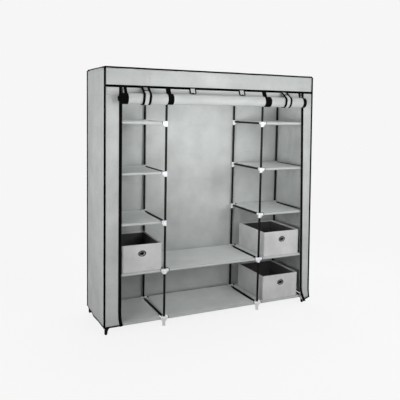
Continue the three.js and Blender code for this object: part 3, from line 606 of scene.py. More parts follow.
def post_tubes(row, column):
    shape = Shape()
    x, y = POST_X[column], POST_Y[row]
    node = f"{row}_post_{column}"
    low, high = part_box(node)
    stops = [low.z] + [LEVEL_Z[level] for level in range(2, LEVEL_COUNT)] + [high.z]
    for bottom, top in zip(stops, stops[1:]):
        shape.add(round_tube((x, y, bottom + JOINT_GAP), (x, y, top - JOINT_GAP)))
    shape.piece(f"{node}_tubes", [TUBE_COAT], "tube", nodes=[node])
    return len(stops) - 1


lengths = sum(post_tubes(row, column) for row in POST_Y for column in COLUMNS)
print("upright tube lengths:", lengths)

# %% [markdown]
# A push-fit connector is an upright socket with two or three arms at right angles, each stiffened by
# a web that slopes down to the socket's lower end. Lips round every mouth catch the light. The
# profiles are spun, and the webs are flat plates with eased edges. The lowest ones carry a foot: the
# inner posts stand on tapered white feet, and the outer ones on a black rounded peg the size of the
# tube. At the left the lowest outer connectors are black too, with a larger hollow-sided gusset.

# %% Sockets and arms
SOCKET_RADIUS = 0.0108
SOCKET_SIDES = 24
ARM_RADIUS = 0.0098
ARM_START = 0.004
BORE_RADIUS = 0.0083
UPWARD = (0, 0, 1)


def socket_part(place, capped):
    """The upright socket, with a lip at each end, and closed on top where no post goes on."""
    top, bottom = SOCKET_ABOVE, -SOCKET_BELOW
    r, bore = SOCKET_RADIUS, BORE_RADIUS
    profile = [
        (bore, top), (r - 0.0008, top), (r, top - 0.0008), (r, top - 0.0034),
        (r - 0.0007, top - 0.0042), (r - 0.0007, bottom + 0.0042), (r, bottom + 0.0034),
        (r, bottom + 0.0008), (r - 0.0008, bottom), (bore, bottom),
    ]
    if capped:
        profile[0] = (0.0, top + 0.0002)
        profile[1] = (r - 0.002, top)
        return turned(profile + [(0.0, bottom)], place, UPWARD, SOCKET_SIDES)
    return turned(profile, place, UPWARD, SOCKET_SIDES, hollow=True)


def arm_part(place, direction):
    """One arm, with a lip round its mouth."""
    r, bore, end = ARM_RADIUS, BORE_RADIUS, ARM_REACH
    profile = [
        (bore, ARM_START), (r - 0.0004, ARM_START), (r - 0.0004, end - 0.0062), (r, end - 0.0054),
        (r, end - 0.0007), (r - 0.0007, end), (bore, end),
    ]
    return turned(profile, place, direction, hollow=True)


print("a connector is", round((SOCKET_ABOVE + SOCKET_BELOW) * 1000, 1), "mm tall")

# %% Webs, gussets and feet
GUSSET_REACH, GUSSET_DROP, GUSSET_HALF = 0.038, 0.042, 0.003
PEG_RADIUS = 0.01


def web_part(place, direction):
    """The sloping web under an arm: a plate whose rim is thinner than its middle."""
    place, direction = Vector(place), Vector(direction)
    across = Vector((0, 0, 1)).cross(direction)
    foot, end = -SOCKET_BELOW + 0.0006, ARM_REACH - 0.003
    outline = [
        (0.006, -0.004), (0.006, foot), (SOCKET_RADIUS + 0.0004, foot),
        (0.0185, -0.0175), (end, -0.0095), (end, -0.004),
    ]
    middle_a, middle_z = 0.013, -0.011
    rows = []
    for out, shrink in ((-0.0024, 0.9), (-0.0018, 1.0), (0.0018, 1.0), (0.0024, 0.9)):
        row = []
        for a, z in outline:
            a, z = between(middle_a, a, shrink), between(middle_z, z, shrink)
            row.append(place + direction * a + Vector((0, 0, z)) + across * out)
        rows.append(row)
    return skin(rows)


def gusset_part(place, direction):
    """The larger hollow-sided gusset at the black corners."""
    place, direction = Vector(place), Vector(direction)
    across = Vector((0, 0, 1)).cross(direction)
    outline = [(0.002, -0.004), (0.002, -GUSSET_DROP)]
    for step in range(9):
        angle = math.pi / 2 * step / 8
        outline.append((GUSSET_REACH - 0.028 * math.cos(angle), 0.0365 * math.sin(angle) - GUSSET_DROP))
    rows = []
    for out in (-GUSSET_HALF, GUSSET_HALF):
        rows.append([place + direction * a + Vector((0, 0, z)) + across * out for a, z in outline])
    return skin(rows)


def white_foot(place):
    x, y, z = place
    top = z - SOCKET_BELOW + 0.001
    profile = [
        (0.0, 0.0), (0.0096, 0.0), (0.0108, 0.0008), (0.0108, 0.0034), (0.0098, 0.0044),
        (0.0102, 0.02), (0.0107, top), (0.0, top),
    ]
    return turned(profile, (x, y, 0), UPWARD, SOCKET_SIDES)


def black_peg(place):
    x, y, z = place
    profile = [(0.0, 0.0)]
    for step in range(1, 7):
        angle = math.pi / 2 * step / 6
        profile.append((PEG_RADIUS * math.sin(angle), PEG_RADIUS * (1 - math.cos(angle))))
    profile += [(PEG_RADIUS + 0.0006, z - SOCKET_BELOW), (0.0, z - SOCKET_BELOW)]
    return turned(profile, (x, y, 0), UPWARD)


print("a black gusset reaches", GUSSET_REACH * 1000, "mm out and", GUSSET_DROP * 1000, "mm down")

# %% [markdown]
# One level of a side column is four connectors joined by two width tubes and two depth tubes. The
# tubes stop inside the arms. A connector has an arm toward the middle bay only where tubes cross it,
# at the two lowest levels and at the top.

# %% Level frames
CROSSED_LEVELS = (1, 2, LEVEL_COUNT)
TUBE_START = 0.012


def level_frame(side, level):
    inward = 1 if side == "left" else -1
    outer, inner = POST_X[f"outer_{side}"], POST_X[f"inner_{side}"]
    z = LEVEL_Z[level]
    node = f"{side}_frame_level_{level}"
    white, pegs, tubes = Shape(), Shape(), Shape()
    for row, depthward in (("front", 1), ("back", -1)):
        y = POST_Y[row]
        for x, to_bay in ((outer, inward), (inner, -inward)):
            arms = [(to_bay, 0, 0), (0, depthward, 0)]
            if x == inner and level in CROSSED_LEVELS:
                arms.append((inward, 0, 0))
            black_corner = x == POST_X["outer_left"] and level == 1
            holder = pegs if black_corner else white
            holder.add(socket_part((x, y, z), capped=level == LEVEL_COUNT))
            for arm in arms:
                holder.add(arm_part((x, y, z), arm))
                holder.add((gusset_part if black_corner else web_part)((x, y, z), arm))
            if level == 1:
                foot = white_foot if x == inner else black_peg
                (white if x == inner else pegs).add(foot((x, y, z)))
        start, end = sorted((outer, inner))
        tubes.add(round_tube((start + TUBE_START, y, z), (end - TUBE_START, y, z)))
    front, back = POST_Y["front"] + TUBE_START, POST_Y["back"] - TUBE_START
    for x in (outer, inner):
        tubes.add(round_tube((x, front, z), (x, back, z)))
    white.piece(f"{side}_level_{level}_connectors", [CONNECTOR_PLASTIC], "connector", nodes=[node])
    tubes.piece(f"{side}_level_{level}_tubes", [TUBE_COAT], "tube", nodes=[node])
    if level == 1:
        pegs.piece(f"{side}_outer_pegs", [BLACK_PLASTIC], "tube", nodes=[node])


for level in LEVEL_Z:
    level_frame("left", level)
    level_frame("right", level)
print("connectors:", len(POST_Y) * len(COLUMNS) * LEVEL_COUNT)

# %% [markdown]
# Plain tubes cross the middle bay, and the hanging rail lies below the top ones. Each end of the
# rail sits in a cup that hangs from a clamp ring round the top depth tube.

# %% Middle tubes and hanging rail
CUP_RADIUS = 0.011
CLAMP_RADIUS, CLAMP_HALF, CLAMP_EASE = 0.0113, 0.011, 0.0008


def middle_tube(row, level):
    node = f"middle_{row}_tube_level_{level}"
    low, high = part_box(node)
    y, z = POST_Y[row], LEVEL_Z[level]
    shape = Shape().add(round_tube((low.x, y, z), (high.x, y, z)))
    shape.piece(f"{node}_round", [TUBE_COAT], "tube", nodes=[node])


def hanging_rail():
    low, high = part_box("hanging_rail")
    y, rail_z, ring_z = middle_of("hanging_rail").y, low.z + CUP_RADIUS, LEVEL_Z[LEVEL_COUNT]
    left_x, right_x = POST_X["inner_left"], POST_X["inner_right"]
    rail = Shape().add(round_tube((left_x, y, rail_z), (right_x, y, rail_z)))
    rail.piece("hanging_rail_tube", [TUBE_COAT], "tube", nodes=["hanging_rail"])
    ring = [(BORE_RADIUS, 0.0), (CLAMP_RADIUS - CLAMP_EASE, 0.0), (CLAMP_RADIUS, CLAMP_EASE)]
    ring = [(radius, along - CLAMP_HALF) for radius, along in ring]
    ring += [(radius, -along) for radius, along in reversed(ring)]
    cup = [
        (0.0, 0.004), (0.0098, 0.004), (CUP_RADIUS, 0.0028), (CUP_RADIUS, -0.013), (0.0104, -0.014),
        (BORE_RADIUS, -0.014), (BORE_RADIUS, -0.002), (0.0, -0.002),
    ]
    holders = Shape()
    for x, out in ((left_x, -1), (right_x, 1)):
        holders.add(turned(ring, (x, y, ring_z), (0, 1, 0), SOCKET_SIDES, hollow=True))
        holders.add(turned(cup, (x, y, rail_z), (out, 0, 0), SOCKET_SIDES))
        top = ring_z - 0.0095
        plate = ((-0.0085, rail_z), (0.0085, rail_z), (0.0098, top), (-0.0098, top))
        holders.add(skin([[(x + a, y + b, z) for b, z in plate] for a in (-0.0036, 0.0036)]))
    holders.piece("hanging_rail_holders", [BLACK_PLASTIC], "tube", nodes=["hanging_rail"])


for level in CROSSED_LEVELS:
    middle_tube("front", level)
    middle_tube("back", level)
hanging_rail()
print("middle tubes:", 2 * len(CROSSED_LEVELS))

# %% [markdown]
# A cloth sheet is a grid of points given by a function of two shares, across and along, and the
# Solidify modifier gives it its thickness evenly on both sides. Wrinkles are smooth noise added to
# the function, strongest away from the seams that hold the cloth.

# %% Sheets and wrinkles
def wrinkle(x, y, z, size, depth):
    """Smooth noise with features of this size, the same on every run."""
    return depth * noise.noise(Vector((x, y, z)) / size)


def cloth(name, point, across, along, finishes, slot, thickness, finish_at=None, **riding):
    """A sheet through point(u, v). across and along are how many steps, or the shares themselves."""
    us = [i / across for i in range(across + 1)] if isinstance(across, int) else across
    vs = [j / along for j in range(along + 1)] if isinstance(along, int) else along
    shape = Shape()
    shape.add(skin([[point(u, v) for u in us] for v in vs], wrap=False, caps=False))
    if finish_at:
        steps = range(len(vs) - 1)
        middles = [(a + b) / 2 for a, b in zip(us, us[1:])]
        shape.finish_of = [finish_at(u, (vs[j] + vs[j + 1]) / 2) for j in steps for u in middles]
    made = shape.piece(name, finishes, slot, closed=False, sharp=80, **riding)
    solid = made.modifiers.new("thickness", "SOLIDIFY")
    solid.thickness = thickness
    solid.offset = 0
    return made


def path_length(points):
    return sum((Vector(b) - Vector(a)).length for a, b in zip(points, points[1:]))


print("one wrinkle:", round(wrinkle(0.1, 0.2, 0.3, 0.09, 0.0022) * 1000, 2), "mm out of the sheet")

# %% [markdown]
# A shelf is one sheet with a sleeve sewn at its front and back, and the two width tubes run through
# the sleeves. Seen from the side its path starts as a hem under the sheet, goes round the front
# tube, sags a few millimetres on its way back, and goes round the back tube. Its corners are notched
# to clear the connectors. Between the notches it reaches almost to both depth tubes, and its slack
# side edges hang a little lower than their tops, so that the black tubes show beside the cloth. The
# side edges are overlocked in black, and two rows of stitches hold the hems. The sleeves are given a
# deeper grey than the sheet as painted shade, because the lamps light their fronts squarely and the
# sheet's top only at a low angle.

# %% Shelf path and stitches
SLEEVE_RADIUS = 0.0092
SHELF_CLOTH_THICKNESS = 0.0011
SHELF_SAG = 0.004
NOTCH_DEPTH = 0.030
NOTCH_WIDTH = 0.022
EDGE_DROP = 0.012
EDGE_BAND = 0.024
EDGE_EASE = 0.05
SHELF_DEPTH = POST_Y["back"] - POST_Y["front"]
STITCH_LENGTH, STITCH_GAP, STITCH_HALF = 0.0032, 0.0016, 0.00035
STITCHES_FROM_POST = 0.015


def shelf_profile():
    """Points (y, z) from hem to hem, and how many of them make each hem and sleeve."""
    sleeve = []
    for step in range(17):
        angle = math.radians(40 - 310 * step / 16)
        sleeve.append((SLEEVE_RADIUS * math.cos(angle), SLEEVE_RADIUS * math.sin(angle)))
    front = [(0.021, 0.0076), (0.014, 0.0075)] + sleeve
    near = [0.014, NOTCH_DEPTH - 0.0004, NOTCH_DEPTH + 0.0004]
    far = NOTCH_DEPTH + 0.015
    steps = near + [between(far, SHELF_DEPTH - far, i / 18) for i in range(19)]
    steps += [SHELF_DEPTH - y for y in reversed(near)]
    back = [(SHELF_DEPTH - y, z) for y, z in reversed(front)]
    rows = front + [(y, SLEEVE_RADIUS) for y in steps] + back
    return [(POST_Y["front"] + y, z) for y, z in rows], len(front)


def stitches(shape, path, out):
    """Short thread stitches along a path, standing just proud of the cloth towards out."""
    out = Vector(out)
    for a, b in zip(path, path[1:]):
        a, b = Vector(a), Vector(b)
        along = (b - a).normalized()
        across = along.cross(out).normalized()
        count = max(1, int((b - a).length / (STITCH_LENGTH + STITCH_GAP)))
        for step in range(count):
            middle = a + (b - a) * ((step + 0.5) / count)
            rows = []
            for t, lift, wide in ((-0.5, 0, 0.5), (-0.2, 1, 1), (0.2, 1, 1), (0.5, 0, 0.5)):
                centre = middle + along * (t * STITCH_LENGTH) + out * (STITCH_HALF * lift)
                half = STITCH_HALF * wide
                rows.append([centre + across * half, centre + out * half, centre - across * half])
            shape.add(skin(rows))


PROFILE, SLEEVE_ROWS = shelf_profile()
HEM_TO_HEM = path_length([(0, y, z) for y, z in PROFILE])
print("cloth from hem to hem:", round(HEM_TO_HEM, 3), "m")

# %% Shelves
def shelf(node):
    low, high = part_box(node)
    z = (low.z + high.z) / 2
    count = len(PROFILE) - 1

    def point(u, v):
        i = round(v * count)
        y, lift = PROFILE[i]
        inset = min(y - POST_Y["front"], POST_Y["back"] - y)
        open_sheet = SLEEVE_ROWS <= i <= count - SLEEVE_ROWS
        wider = NOTCH_WIDTH if open_sheet and inset > NOTCH_DEPTH else 0.0
        x = between(low.x - wider, high.x + wider, u)
        to_edge = min(x - low.x, high.x - x) + wider
        if open_sheet:
            free = math.sin(math.pi * (y - POST_Y["front"]) / SHELF_DEPTH)
            soft = wrinkle(x, y, z, 0.09, 0.0022) + wrinkle(x, y, z + 3, 0.035, 0.0007)
            lift += math.sin(math.pi * u) ** 0.5 * free * (soft - 0.0012 - SHELF_SAG * free)
            slack = min(1, max(0, (inset - NOTCH_DEPTH) / EDGE_EASE))
            lift -= EDGE_DROP * math.sin(math.pi / 2 * slack) * max(0, 1 - to_edge / EDGE_BAND) ** 1.5
        return x, y, z + lift

    width = high.x - low.x + 2 * NOTCH_WIDTH
    rim = [place / width for place in (0, 0.005, 0.010, 0.016, 0.024)]
    inner = 14 if width < 0.5 else 28
    columns = rim + [between(rim[-1], 1 - rim[-1], i / inner) for i in range(1, inner)]
    columns += [1 - u for u in reversed(rim)]
    # Rows near either end, the sleeves, take the darker cloth of painted shade.
    sleeve_share = (SLEEVE_ROWS - 1) / count
    sheet = cloth(
        f"{node}_cloth", point, columns, count, [SHELF_CLOTH, SLEEVE_PAINTED_SHADE_CLOTH], "shelf_cloth",
        SHELF_CLOTH_THICKNESS, nodes=[node],
        finish_at=lambda u, v: 1 if min(v, 1 - v) < sleeve_share else 0,
    )
    trim = Shape()
    for u in (0.0, 1.0):
        edge = [point(u, i / count) for i in range(SLEEVE_ROWS - 2, count - SLEEVE_ROWS + 3)]
        trim.add(swept(edge, oval(0.0016, 0.0011, 8), lambda i: (1, 0, 0)))
    edging = trim.piece(f"{node}_edging", [BLACK_TAPE], "shelf_cloth")
    seams = Shape()
    top = z + SLEEVE_RADIUS + SHELF_CLOTH_THICKNESS / 2
    for y in (POST_Y["front"] + STITCHES_FROM_POST, POST_Y["back"] - STITCHES_FROM_POST):
        stitches(seams, [(between(low.x, high.x, u), y, top) for u in (0.01, 0.99)], UPWARD)
    rows = seams.piece(f"{node}_stitches", [THREAD], "shelf_cloth")
    flat = (width, HEM_TO_HEM)
    return flat


for level in range(1, LEVEL_COUNT):
    for side in ("left", "right"):
        flat = shelf(f"{side}_shelf_level_{level}")
    if level in (1, 2):
        middle_flat = shelf(f"middle_shelf_level_{level}")
for name, size in (("side", flat), ("middle", middle_flat)):
    print(name, "shelf cut to", [round(length, 3) for length in size])

# %% [markdown]
# A drawer is a box of stiff card wrapped in grey cloth. Its inside is near-black charcoal, painted
# shade for the deep shadow inside the box. It's a stack of rounded outlines: up the outside, over the
# rim and down the inside to the floor. The panels bow out a little, and the cloth on them has
# slanting creases. The finger hole is cut through the front with a Boolean, and its metal ring is a
# small section swept round an oval.

# %% Drawer outline and bow
EYELET_PROUD = 0.0016
EYELET_ABOVE_FLOOR = 0.124
HOLE = (0.018, 0.0105)
RING_WIDTH = 0.012
DRAWER_CORNER = 0.009
DRAWER_WALL = 0.003
WALL_STEPS, CORNER_STEPS = 18, 5
WALL_SHARES = (0.06, 0.16, 0.3, 0.44, 0.58, 0.72, 0.84, 0.93)
PANEL_SWELL, PANEL_CREASE = 0.0022, 0.0009
HEM_SHARE, HEM_BELOW_RIM = 0.93, 0.013


def rounded_outline(width, depth):
    """Points round a drawer about its middle, each with the direction that faces out."""
    outline = []
    half_width, half_depth = width / 2 - DRAWER_CORNER, depth / 2 - DRAWER_CORNER
    signs = ((1, -1), (1, 1), (-1, 1), (-1, -1))
    corners = [Vector((x * half_width, y * half_depth)) for x, y in signs]
    for i, corner in enumerate(corners):
        for step in range(CORNER_STEPS + 1):
            angle = math.radians(90 * (i - 1 + step / CORNER_STEPS))
            out = Vector((math.cos(angle), math.sin(angle)))
            outline.append((corner + out * DRAWER_CORNER, out))
        start, end = outline[-1][0], corners[(i + 1) % 4] + out * DRAWER_CORNER
        outline += [(start.lerp(end, step / WALL_STEPS), out) for step in range(1, WALL_STEPS)]
    return outline


def panel_bow(place, out, width, depth, share):
    """How far a wall stands out, from its place in the outline and its share of the height."""
    along = place.y / (depth / 2) if abs(out.x) > abs(out.y) else place.x / (width / 2)
    swell = PANEL_SWELL * max(0.0, 1 - along**2) * math.sin(math.pi * min(1, share * 1.05)) ** 0.8
    slant = place.x + place.y
    creases = noise.noise(Vector((slant / 0.05 + share * 3.4, slant / 0.2 - share * 1.5, 4.0)))
    return swell + PANEL_CREASE * creases


print("points round a drawer:", len(rounded_outline(0.3, 0.3)))

# %% Drawers
def cut_hole(made, cutter):
    """Cuts cutter's shape out of a piece and removes the cutter."""
    difference = made.modifiers.new("hole", "BOOLEAN")
    difference.object = cutter
    difference.solver = "EXACT"
    bpy.context.view_layer.update()
    evaluated = made.evaluated_get(bpy.context.evaluated_depsgraph_get())
    shaped = bpy.data.meshes.new_from_object(evaluated)
    made.modifiers.clear()
    made.data = shaped
    bpy.data.objects.remove(cutter)


def drawer(node):
    body = f"{node}_body"
    low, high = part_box(node)
    front = low.y + EYELET_PROUD
    width, depth, height = high.x - low.x, high.y - front, high.z - low.z
    centre = Vector(((low.x + high.x) / 2, (front + high.y) / 2))
    outline = rounded_outline(width, depth)
    climbs = [(0.0002, 0.002), (0.0016, 0.0004)]
    climbs += [(height * share, 0.0) for share in WALL_SHARES]
    climbs += [(height - 0.002, 0.0), (height - 0.0006, 0.0005), (height, 0.0015)]
    climbs += [(height - 0.0005, 0.0026), (height - 0.002, 0.0031), (height - 0.007, 0.0031)]
    outside = len(climbs)
    climbs += [(height * share, DRAWER_WALL) for share in reversed(WALL_SHARES)]
    climbs += [(DRAWER_WALL + 0.0002, DRAWER_WALL + 0.0006)]
    rows = []
    for climb, inset in climbs:
        row = []
        for place, out in outline:
            at = centre + place + out * (panel_bow(place, out, width, depth, climb / height) - inset)
            row.append((at.x, at.y, low.z + climb))
        rows.append(row)
    shape = Shape().add(skin(rows))
    count = len(outline)
    # The faces down the inside and the inner floor take the charcoal of painted shade.
    shaded_inside_faces = count * (len(rows) - 1 - outside)
    shape.finish_of = [0] * (count * outside) + [1] * shaded_inside_faces + [0, 1]
    cloths = [DRAWER_CLOTH, INSIDE_PAINTED_SHADE_CLOTH]
    box = shape.piece(f"{node}_box", cloths, "drawer_cloth", body=body, nodes=[node])
    eye = Vector((centre.x, front, low.z + EYELET_ABOVE_FLOOR))
    rows = [[eye + Vector((x, y, z)) for x, z in oval(*HOLE, 32)] for y in (-0.01, 0.01)]
    cut_hole(box, Shape().add(skin(rows)).solid("cutter"))
    section = [
        (-0.0046, -0.0042), (-0.0052, 0.0002), (-0.0036, 0.0018), (0.0, 0.0025), (0.0036, 0.0018),
        (0.0052, 0.0002), (0.0046, -0.0022), (-0.0030, -0.0022), (-0.0034, -0.0042),
    ]
    radii = (HOLE[0] + RING_WIDTH / 2, HOLE[1] + RING_WIDTH / 2)
    path = [eye + Vector((x, -0.0006, -z)) for x, z in oval(*radii, 40)]
    ring = Shape().add(swept(path, section, lambda i: path[i] - eye, loop=True))
    ring = ring.piece(f"{node}_eyelet", [EYELET_METAL], "zip_metal", body=body)
    seam = Shape()
    line = []
    for place, out in outline + outline[:1]:
        at = centre + place + out * (panel_bow(place, out, width, depth, HEM_SHARE) + 0.0001)
        line.append(Vector((at.x, at.y, high.z - HEM_BELOW_RIM)))
    for start, end in zip(line, line[1:]):
        if (end - start).length > STITCH_LENGTH + 0.0008:
            stitches(seam, [start, end], Vector((end.y - start.y, start.x - end.x, 0)).normalized())
    seam = seam.piece(f"{node}_hem_stitches", [THREAD], "drawer_cloth", body=body)
    area = width * depth + 2 * height * (width + depth)
    return area


for node, rests_on in (
    ("drawer_left", "left_shelf_level_2_cloth"),
    ("drawer_right_upper", "right_shelf_level_2_cloth"),
    ("drawer_right_lower", "right_shelf_level_1_cloth"),
):
    drawer_area = drawer(node)
print("cloth in one drawer:", round(drawer_area, 3), "m2")

# %% [markdown]
# The cover's walls hang from the roof seam in long soft folds that die out at the sewn corners and
# deepen towards the hem. The same fold rule serves the sides and the back, with finer creases on top
# of it. The front right corner hangs free of its post and stands out towards the floor. So each of
# these is a small function, which the sheets then add together.

# %% Cover folds
CENTRE_X = (POST_X["inner_left"] + POST_X["inner_right"]) / 2
COVER_HALF = 0.0005
SEAM_GAP = 0.0003
LEFT_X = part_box("cover_left_side")[1].x
RIGHT_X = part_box("cover_right_side")[0].x
FRONT_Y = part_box("cover_valance")[0].y
BACK_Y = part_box("cover_left_side")[1].y
HEM_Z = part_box("cover_back")[0].z
WALL_TOP_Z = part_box("cover_back")[1].z
SEAM_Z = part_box("front_strip_left")[1].z
LEFT_STRIP_LOW, LEFT_STRIP_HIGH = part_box("front_strip_left")
RIGHT_STRIP_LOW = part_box("front_strip_right")[0]
RIGHT_STRIP_HEM_X = POST_X["inner_right"] + 0.3785
CORNER_FLARE = 0.036
CORNER_DIP = 0.010
SWING_START_Z = 0.145
SWING_FORWARD, SWING_DOWN = 0.05, 0.007
LEFT_HEM_LEAN = 0.012
SIDE_FOLDS, BACK_FOLDS = 2.5, 6.5
DRAPE_DEPTH, HEM_SPREAD = 0.006, 0.007
BELLY_DEPTH = 0.004


def hanging_fold(u, v, count):
    """How far a wall's long folds stand out: nothing at its sewn edges, and most near the hem."""
    fall = 1 - v
    sway = 0.35 * math.sin(2 * math.pi * 0.48 * v)
    wave = (1 + math.sin(2 * math.pi * (count * u + sway))) / 2
    edge = abs(math.sin(math.pi * u)) ** 0.7
    out = DRAPE_DEPTH * wave * (0.35 + 0.65 * fall) + HEM_SPREAD * fall**2
    return min(1, fall / 0.25) * edge * out


def belly(u, z):
    """How far a side wall stands out between two levels, whose tubes hold it in."""
    step = LEVEL_Z[2] - LEVEL_Z[1]
    return BELLY_DEPTH * abs(math.sin(math.pi * (z - LEVEL_Z[1]) / step)) * math.sin(math.pi * u)


def fine_creases(u, v, along, z, seed):
    """Small creases that fade out at the sewn edges."""
    free = math.sin(math.pi * u) ** 0.5 * min(1, (1 - v) / 0.06)
    long = wrinkle(along, z * 0.35, seed, 0.06, 0.003)
    slant = wrinkle(along + z * 0.6, z * 0.8 - along * 0.4, seed + 3, 0.11, 0.004)
    small = wrinkle(along, z * 0.7, seed + 7, 0.03, 0.0009)
    return free * (long + slant + small)


def near_hem(z):
    """0 above SWING_START_Z, rising to 1 at the hem."""
    return max(0.0, (SWING_START_Z - z) / (SWING_START_Z - HEM_Z))


def swing(z):
    """How much of its whole swing the right strip's free lower corner has at a height."""
    return near_hem(z) ** 3


def right_corner(z):
    """The front right edge of the cover at a height: it flares out and droops a little at the hem."""
    flare = CORNER_FLARE * (WALL_TOP_Z - z) / (WALL_TOP_Z - HEM_Z)
    dip = CORNER_DIP * swing(z)
    return Vector((RIGHT_X + flare, FRONT_Y - dip, z - dip))


print("cover stands between", round(LEFT_X, 4), "and", round(RIGHT_X, 4))

# %% [markdown]
# Each sheet of the cover is now one function of two shares. The walls take the folds and creases, and
# the side walls also a little belly between the levels. The roof sags a few millimetres between the
# bays' tubes. The valance is drawn tight on its seams and creases on a slant between them. A strip is
# held at its corner and at its zip, and bulges a little between the two.

# %% The sheets as functions
def left_side(u, v):
    y, z = between(BACK_Y, FRONT_Y, u), between(HEM_Z, WALL_TOP_Z, v)
    out = COVER_HALF + hanging_fold(u, v, SIDE_FOLDS) + fine_creases(u, v, y, z, 11) + belly(u, z)
    return LEFT_X - out, y, z


def right_side(u, v):
    z = between(HEM_Z, WALL_TOP_Z, v)
    corner = right_corner(z)
    out = COVER_HALF + hanging_fold(u, v, SIDE_FOLDS) + fine_creases(u, v, u, z, 23) + belly(u, z)
    x = between(corner.x, RIGHT_X, u) + out
    return x, between(corner.y, BACK_Y, u), between(corner.z, z, min(1, u * 2))


def back(u, v):
    x, z = between(RIGHT_X, LEFT_X, u), between(HEM_Z, WALL_TOP_Z, v)
    out = COVER_HALF + hanging_fold(u, v, BACK_FOLDS) + fine_creases(u, v, x, z, 31)
    return x, BACK_Y - 2 * COVER_HALF + out, z


def roof(u, v):
    side_share = (POST_X["inner_left"] - POST_X["outer_left"]) / (RIGHT_X - LEFT_X)
    inward = min(u, 1 - u)
    if inward < side_share:
        bay = math.sin(math.pi * inward / side_share)
    else:
        bay = math.sin(math.pi * (inward - side_share) / (1 - 2 * side_share))
    x, y = between(LEFT_X, RIGHT_X, u), between(FRONT_Y, BACK_Y, v)
    sag = (bay * math.sin(math.pi * v)) ** 2 * (0.0025 + wrinkle(x, y, 2, 0.08, 0.002))
    return x, y, WALL_TOP_Z + SEAM_GAP + COVER_HALF - sag


def valance(u, v):
    x, z = between(LEFT_X, RIGHT_X, u), between(SEAM_Z + SEAM_GAP, WALL_TOP_Z, v)
    free = math.sin(math.pi * v) ** 1.7 * min(1, 12 * u, 12 * (1 - u))
    steep = wrinkle(x * 0.5 + z * 1.6, z - x * 0.3, 5, 0.07, 0.004)
    level = wrinkle(x * 0.3, z, 9, 0.12, 0.004)
    return x, FRONT_Y + COVER_HALF - free * (0.003 + steep + level), z


def strip_bulge(share, v, place, seed):
    """How far a strip stands out, at a share of its way from its held edge towards its zip."""
    across = math.sin(math.pi * min(1, share * 1.2))
    creases = wrinkle(place[0], place[1] * 0.5, seed, 0.05, 0.0016)
    return 0.004 * (across * math.sin(math.pi * v)) ** 2 + across * (creases + 0.0006)


def left_strip(u, v):
    z = between(HEM_Z, SEAM_Z, v)
    inner = LEFT_STRIP_HIGH.x + LEFT_HEM_LEAN * near_hem(z) ** 2
    bulge = strip_bulge(u, v, (u * 0.1, z), 41)
    return between(LEFT_STRIP_LOW.x, inner, u), FRONT_Y + COVER_HALF - bulge, z


def right_strip(u, v):
    """u runs from the free zipped edge to the corner."""
    z = between(HEM_Z, SEAM_Z, v)
    corner = right_corner(z)
    lean = between(RIGHT_STRIP_HEM_X, RIGHT_STRIP_LOW.x, v)
    forward = SWING_FORWARD * swing(z) * (1 - u) ** 1.3
    forward += strip_bulge(1 - u, v, (u * 0.08, z), 47)
    y = between(FRONT_Y, corner.y, u) + COVER_HALF - forward
    return between(lean, corner.x, u), y, corner.z - SWING_DOWN * swing(z) * (1 - u)


RIGHT_STRIP_WIDTH = (RIGHT_X - RIGHT_STRIP_LOW.x, RIGHT_X + CORNER_FLARE - RIGHT_STRIP_HEM_X)
print("right strip's width, top and hem:", [round(width, 3) for width in RIGHT_STRIP_WIDTH])

# %% [markdown]
# Every seam and edge of the cover is closed with black tape folded over it. It stands out from the
# corners as a narrow fin and lies flat on the valance seam. `edging` carries a thin flat section
# along a path of points taken from the sheets themselves, so the tape follows their folds.

# %% Bindings
FIN_REACH = 0.0085
TAPE_HALF, HEM_HALF = 0.0012, 0.0013


def tape_section(start, end, half):
    """A flat band from one offset to another, with a rounded outer fold."""
    fold = [(end - half, -half), (end, -half * 0.4), (end, half * 0.4), (end - half, half)]
    return [(start, -half)] + fold + [(start, half)]


def edging(shape, path, out, start, end, half=TAPE_HALF):
    """Black tape along path, reaching from start to end in the direction out."""
    return shape.add(swept(path, tape_section(start, end, half), lambda i: out))


def trace(sheet_point, steps, u=None, v=None):
    """Points along one edge of a sheet, where either u or v is fixed."""
    shares = [i / steps for i in range(steps + 1)]
    return [sheet_point(u, s) if v is None else sheet_point(s, v) for s in shares]


def hem(shape, sheet_point, steps):
    """Tape folded under the lower edge."""
    edging(shape, trace(sheet_point, steps, v=0.0), (0, 0, -1), start=-0.009, end=0.0015, half=HEM_HALF)


print("a corner fin stands out", FIN_REACH * 1000, "mm")


def cover_sheet(name, sheet_point, across, along, node):
    """One sheet of the cover, as a cloth of across by along steps."""
    finishes, thickness = [COVER_CLOTH], 2 * COVER_HALF
    return cloth(name, sheet_point, across, along, finishes, "cover_cloth", thickness, nodes=[node])


roof_sheet = cover_sheet("roof_cloth", roof, 64, 20, "cover_top")
roof_tape = Shape()
corners = [(LEFT_X, FRONT_Y), (RIGHT_X, FRONT_Y), (RIGHT_X, BACK_Y), (LEFT_X, BACK_Y)]
for (x0, y0), (x1, y1) in zip(corners, corners[1:] + corners[:1]):
    rim = []
    for share in (i / 40 for i in range(41)):
        x, y = between(x0, x1, share), between(y0, y1, share)
        rim.append((x, y, WALL_TOP_Z + 0.0012 * noise.noise(Vector((x * 9, y * 9, 3.3)))))
    edging(roof_tape, rim, UPWARD, start=-0.0035, end=0.007)
roof_tape = roof_tape.piece("roof_binding", [BLACK_TAPE], "cover_cloth")

# %% Walls and valance
LEFTWARD, RIGHTWARD = (-1, 0, 0), (1, 0, 0)


def wall(name, sheet_point, across, along, hem_steps=0, tapes=()):
    """One hanging sheet with its tapes, each of them the place, direction and reach of edging."""
    sheet = cover_sheet(f"{name}_cloth", sheet_point, across, along, f"cover_{name}")
    shape = Shape()
    if hem_steps:
        hem(shape, sheet_point, hem_steps)
    for edge, out, reach in tapes:
        edging(shape, trace(sheet_point, **edge), out, **reach)
    tape = shape.piece(f"{name}_binding", [BLACK_TAPE], "cover_cloth")


